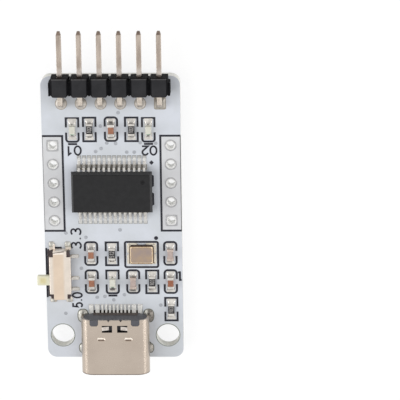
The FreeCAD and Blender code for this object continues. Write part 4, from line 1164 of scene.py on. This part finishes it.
class MODULE_OT_shell_joints(bpy.types.Operator):
    """Solder the legs of the socket's shell, drawn up above and domed below"""

    bl_idname = "module.shell_joints"
    bl_label = "Socket Leg Joints"

    def execute(self, context):
        socket_x = node_middle("socket_shell")[0]
        leg_x = 4.32
        above = [(0, 0.62), (0.15, 0.5), (0.4, 0.26), (0.7, 0.14), (0.92, 0.08), (1, 0)]
        below = [(1, 0), (0.92, -0.08), (0.7, -0.18), (0.4, -0.28), (0.15, -0.33), (0, -0.35)]
        lands = [((x, y), half_x, half_y, 2.5) for x in (socket_x - leg_x, socket_x + leg_x)
                 for y, half_x, half_y in ((2.72, 0.64, 0.88), (-1.8, 0.56, 0.64))]
        solids = [through_joint(above, 0.5, below, centre, outline(0.1, half_y - 0.35, 4),
                                outline(half_x, half_y, power)) for centre, half_x, half_y, power in lands]
        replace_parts(solder_piece("shell_joints", solids, "Leg Solder"), "socket_solder")
        # Dark rims round the lands: their bare edge and painted shade where they meet the board
        land_edges("leg_land_edges", lands, "Land Rim And Painted Shade", 0.03, 0.1, 0)
        return {"FINISHED"}


# Details of the diodes and the switch


class MODULE_OT_diode_ends(bpy.types.Operator):
    """Plate the notched ends of the diodes and mark their cathodes"""

    bl_idname = "module.diode_ends"
    bl_label = "Diode Ends"

    def execute(self, context):
        ends = []
        marks = []
        half_x, reach, depth, notch = 0.4, 0.8, 0.2, 0.18
        shape = np.concatenate((
            [(-half_x, reach), (-half_x, reach - depth), (half_x, reach - depth), (half_x, reach)],
            arc((0, reach), (notch, notch), 0, -180, 8)))
        for name in LEDS:
            x, y, _ = node_middle(name)
            top = node_box(name)[1][2]
            ends += [extruded(shape * (1, side) + (x, y), top - 0.02, top + 0.025) for side in (-1, 1)]
            marks.append(ribbon([(x - 0.24, y - 0.62), (x + 0.24, y - 0.62)], 0.1, top - 0.01, top + 0.035))
        solder_piece("diode_ends", ends, "Dull Solder", 35)
        build_piece("cathode_marks", marks, "Cathode Mark")
        return {"FINISHED"}


class MODULE_OT_cover_seam(bpy.types.Operator):
    """Draw the fold's seam at the header end of the switch's cover"""

    bl_idname = "module.cover_seam"
    bl_label = "Cover Seam"

    def execute(self, context):
        x = node_middle("switch_base")[0]
        y = node_box("switch_base")[1][1]
        top = node_box("switch_cover")[1][2]
        seam = ribbon([(x - 0.8, y - 0.09), (x + 0.75, y + 0.1)], 0.1, top - 0.02, top + 0.006)
        build_piece("cover_seam", [seam], "Folded Seam")
        return {"FINISHED"}


# Stage and camera


def seen_directly(tree):
    """One where the camera, a reflection or clear material looks straight at the stage."""
    path = add_node(tree, "LightPath")
    first = add_node(tree, "Math", operation="MAXIMUM")
    second = add_node(tree, "Math", operation="MAXIMUM")
    wire(tree, (path, "Is Camera Ray", first, 0), (path, "Is Glossy Ray", first, 1),
         (first, "Value", second, 0), (path, "Is Transmission Ray", second, 1))
    return second


class MODULE_OT_studio(bpy.types.Operator):
    """Set up the pale floor, the soft light and the camera"""

    bl_idname = "module.studio"
    bl_label = "Studio"

    def execute(self, context):
        scene = context.scene
        self.make_floor()
        self.make_room(scene, scene.module_studio.sky)
        self.make_lamps(scene, scene.module_studio)
        self.make_camera(scene)
        return {"FINISHED"}

    def make_floor(self):
        """A flat pale floor at the module's lowest point."""
        reach = 3.0
        level = cad_box[0].z
        square = [(-reach, -reach, level), (reach, -reach, level), (reach, reach, level),
                  (-reach, reach, level)]
        mesh = bpy.data.meshes.new("floor")
        mesh.from_pydata(square, [], [(0, 1, 2, 3)])
        floor = bpy.data.objects.new("floor", mesh)
        bpy.context.scene.collection.objects.link(floor)
        material = bpy.data.materials.new("Pale Floor")
        material.use_nodes = True
        tree = material.node_tree
        tree.nodes.remove(tree.nodes["Principled BSDF"])
        plain = add_node(tree, "BsdfDiffuse", {"Color": (0.9, 0.9, 0.9, 1)})
        shown = add_node(tree, "BsdfDiffuse", {"Color": (0.24, 0.24, 0.24, 1)})
        glow = add_node(tree, "Emission", {"Color": (1, 1, 1, 1), "Strength": 0.8})
        both = add_node(tree, "AddShader")
        choice = add_node(tree, "MixShader")
        wire(tree, (shown, "BSDF", both, 0), (glow, "Emission", both, 1),
             (seen_directly(tree), "Value", choice, "Fac"), (plain, "BSDF", choice, 1),
             (both, "Shader", choice, 2), (choice, "Shader", tree.nodes["Material Output"], "Surface"))
        mesh.materials.append(material)

    def make_room(self, scene, sky):
        """An even white room that looks white behind the module and lights it at a plain level."""
        world = bpy.data.worlds.new("Room")
        scene.world = world
        world.use_nodes = True
        tree = world.node_tree
        tree.nodes.clear()
        light = add_node(tree, "Background", {"Color": (1, 1, 1, 1), "Strength": sky})
        white = add_node(tree, "Background", {"Color": (1, 1, 1, 1), "Strength": 1.0})
        choice = add_node(tree, "MixShader")
        output = add_node(tree, "OutputWorld")
        wire(tree, (seen_directly(tree), "Value", choice, "Fac"), (light, "Background", choice, 1),
             (white, "Background", choice, 2), (choice, "Shader", output, "Surface"))

    def make_lamps(self, scene, settings):
        """A softbox at each side of the board, and one low down at each side that the bends reflect."""
        middle = Vector((0, 18.5 * METRE, BOARD_TOP * METRE))
        far = settings.distance
        for name, azimuth, elevation, size, share, mirrored in (
                ("Left Softbox", 180, 50, (0.9, 0.9), 1.12, False),
                ("Left Strip", 180, 15, (0.7, 0.34), 0.85, True),
                ("Right Softbox", 0, 50, (0.9, 0.9), 0.7, False),
                ("Right Strip", 0, 15, (0.7, 0.34), 0.75, True)):
            around, up = math.radians(azimuth), math.radians(elevation)
            place = middle + far * Vector((math.cos(around) * math.cos(up), math.sin(around) * math.cos(up),
                                           math.sin(up)))
            light = bpy.data.lights.new(name, "AREA")
            light.shape = "RECTANGLE"
            light.size, light.size_y = size[0] * far, size[1] * far
            light.energy = settings.softbox * share
            lamp = bpy.data.objects.new(name, light)
            lamp.location = place
            lamp.rotation_mode = "QUATERNION"
            lamp.rotation_quaternion = (middle - place).to_track_quat("-Z", "Y")
            lamp.visible_camera = False
            lamp.visible_glossy = mirrored
            scene.collection.objects.link(lamp)

    def make_camera(self, scene):
        """The photograph's viewpoint: an even perspective from the header end, 2600 pixels to the focus."""
        image_width = 400
        focus_pixels = 2600
        sensor = 36.0
        camera_data = bpy.data.cameras.new("Camera")
        camera_data.sensor_width = sensor
        camera_data.lens = sensor * focus_pixels / image_width
        camera_data.clip_start = 0.01
        camera_data.clip_end = 20
        camera = bpy.data.objects.new("Camera", camera_data)
        look = Vector((-0.02993, -0.29851, -0.95394)).normalized()
        up = Vector((0.00226, 0.95434, -0.29871))
        right = look.cross(up).normalized()
        up = right.cross(look).normalized()
        turn = Matrix((right, up, -look)).transposed().to_4x4()
        camera.matrix_world = Matrix.Translation(Vector((21.416, 119.114, 322.784)) * METRE) @ turn
        scene.collection.objects.link(camera)
        scene.camera = camera
        scene.view_settings.view_transform = "Standard"


class MODULE_PT_panel(bpy.types.Panel):
    """Lists the pieces of the module and its stage"""

    bl_idname = "MODULE_PT_panel"
    bl_label = "Adapter Module"
    bl_space_type = "VIEW_3D"
    bl_region_type = "UI"
    bl_category = "Module"

    def draw(self, context):
        layout = self.layout
        scene = context.scene
        for settings in (scene.module_sizes, scene.module_colours, scene.module_studio):
            column = layout.column()
            for name in settings.__annotations__:
                column.prop(settings, name)
        for operator in OPERATORS:
            layout.operator(operator.bl_idname)


SETTINGS = {"module_sizes": ModuleSizes, "module_colours": ModuleColours, "module_studio": ModuleStudio}
OPERATORS = (MODULE_OT_finishes, MODULE_OT_softened, MODULE_OT_plating, MODULE_OT_hole_rims,
             MODULE_OT_vias, MODULE_OT_ink, MODULE_OT_part_codes, MODULE_OT_header_joints,
             MODULE_OT_chip_joints, MODULE_OT_part_joints, MODULE_OT_crystal_joints,
             MODULE_OT_switch_joints, MODULE_OT_tail_joints, MODULE_OT_shell_joints, MODULE_OT_diode_ends,
             MODULE_OT_cover_seam, MODULE_OT_studio)


def register():
    """Registers the settings, operators and panel."""
    for name, group in SETTINGS.items():
        bpy.utils.register_class(group)
        setattr(bpy.types.Scene, name, PointerProperty(type=group))
    for kind in (*OPERATORS, MODULE_PT_panel):
        bpy.utils.register_class(kind)


def unregister():
    """Takes away what register added."""
    for kind in (MODULE_PT_panel, *reversed(OPERATORS)):
        bpy.utils.unregister_class(kind)
    for name, group in reversed(SETTINGS.items()):
        delattr(bpy.types.Scene, name)
        bpy.utils.unregister_class(group)


def corners(box):
    """A box's two corners as plain lists of numbers."""
    return [[float(value) for value in corner] for corner in box]


def main():
    """Makes everything in order."""
    register()
    for operator in OPERATORS:
        family, action = operator.bl_idname.split(".")
        getattr(getattr(bpy.ops, family), action)()


if __name__ == "__main__":
    main()
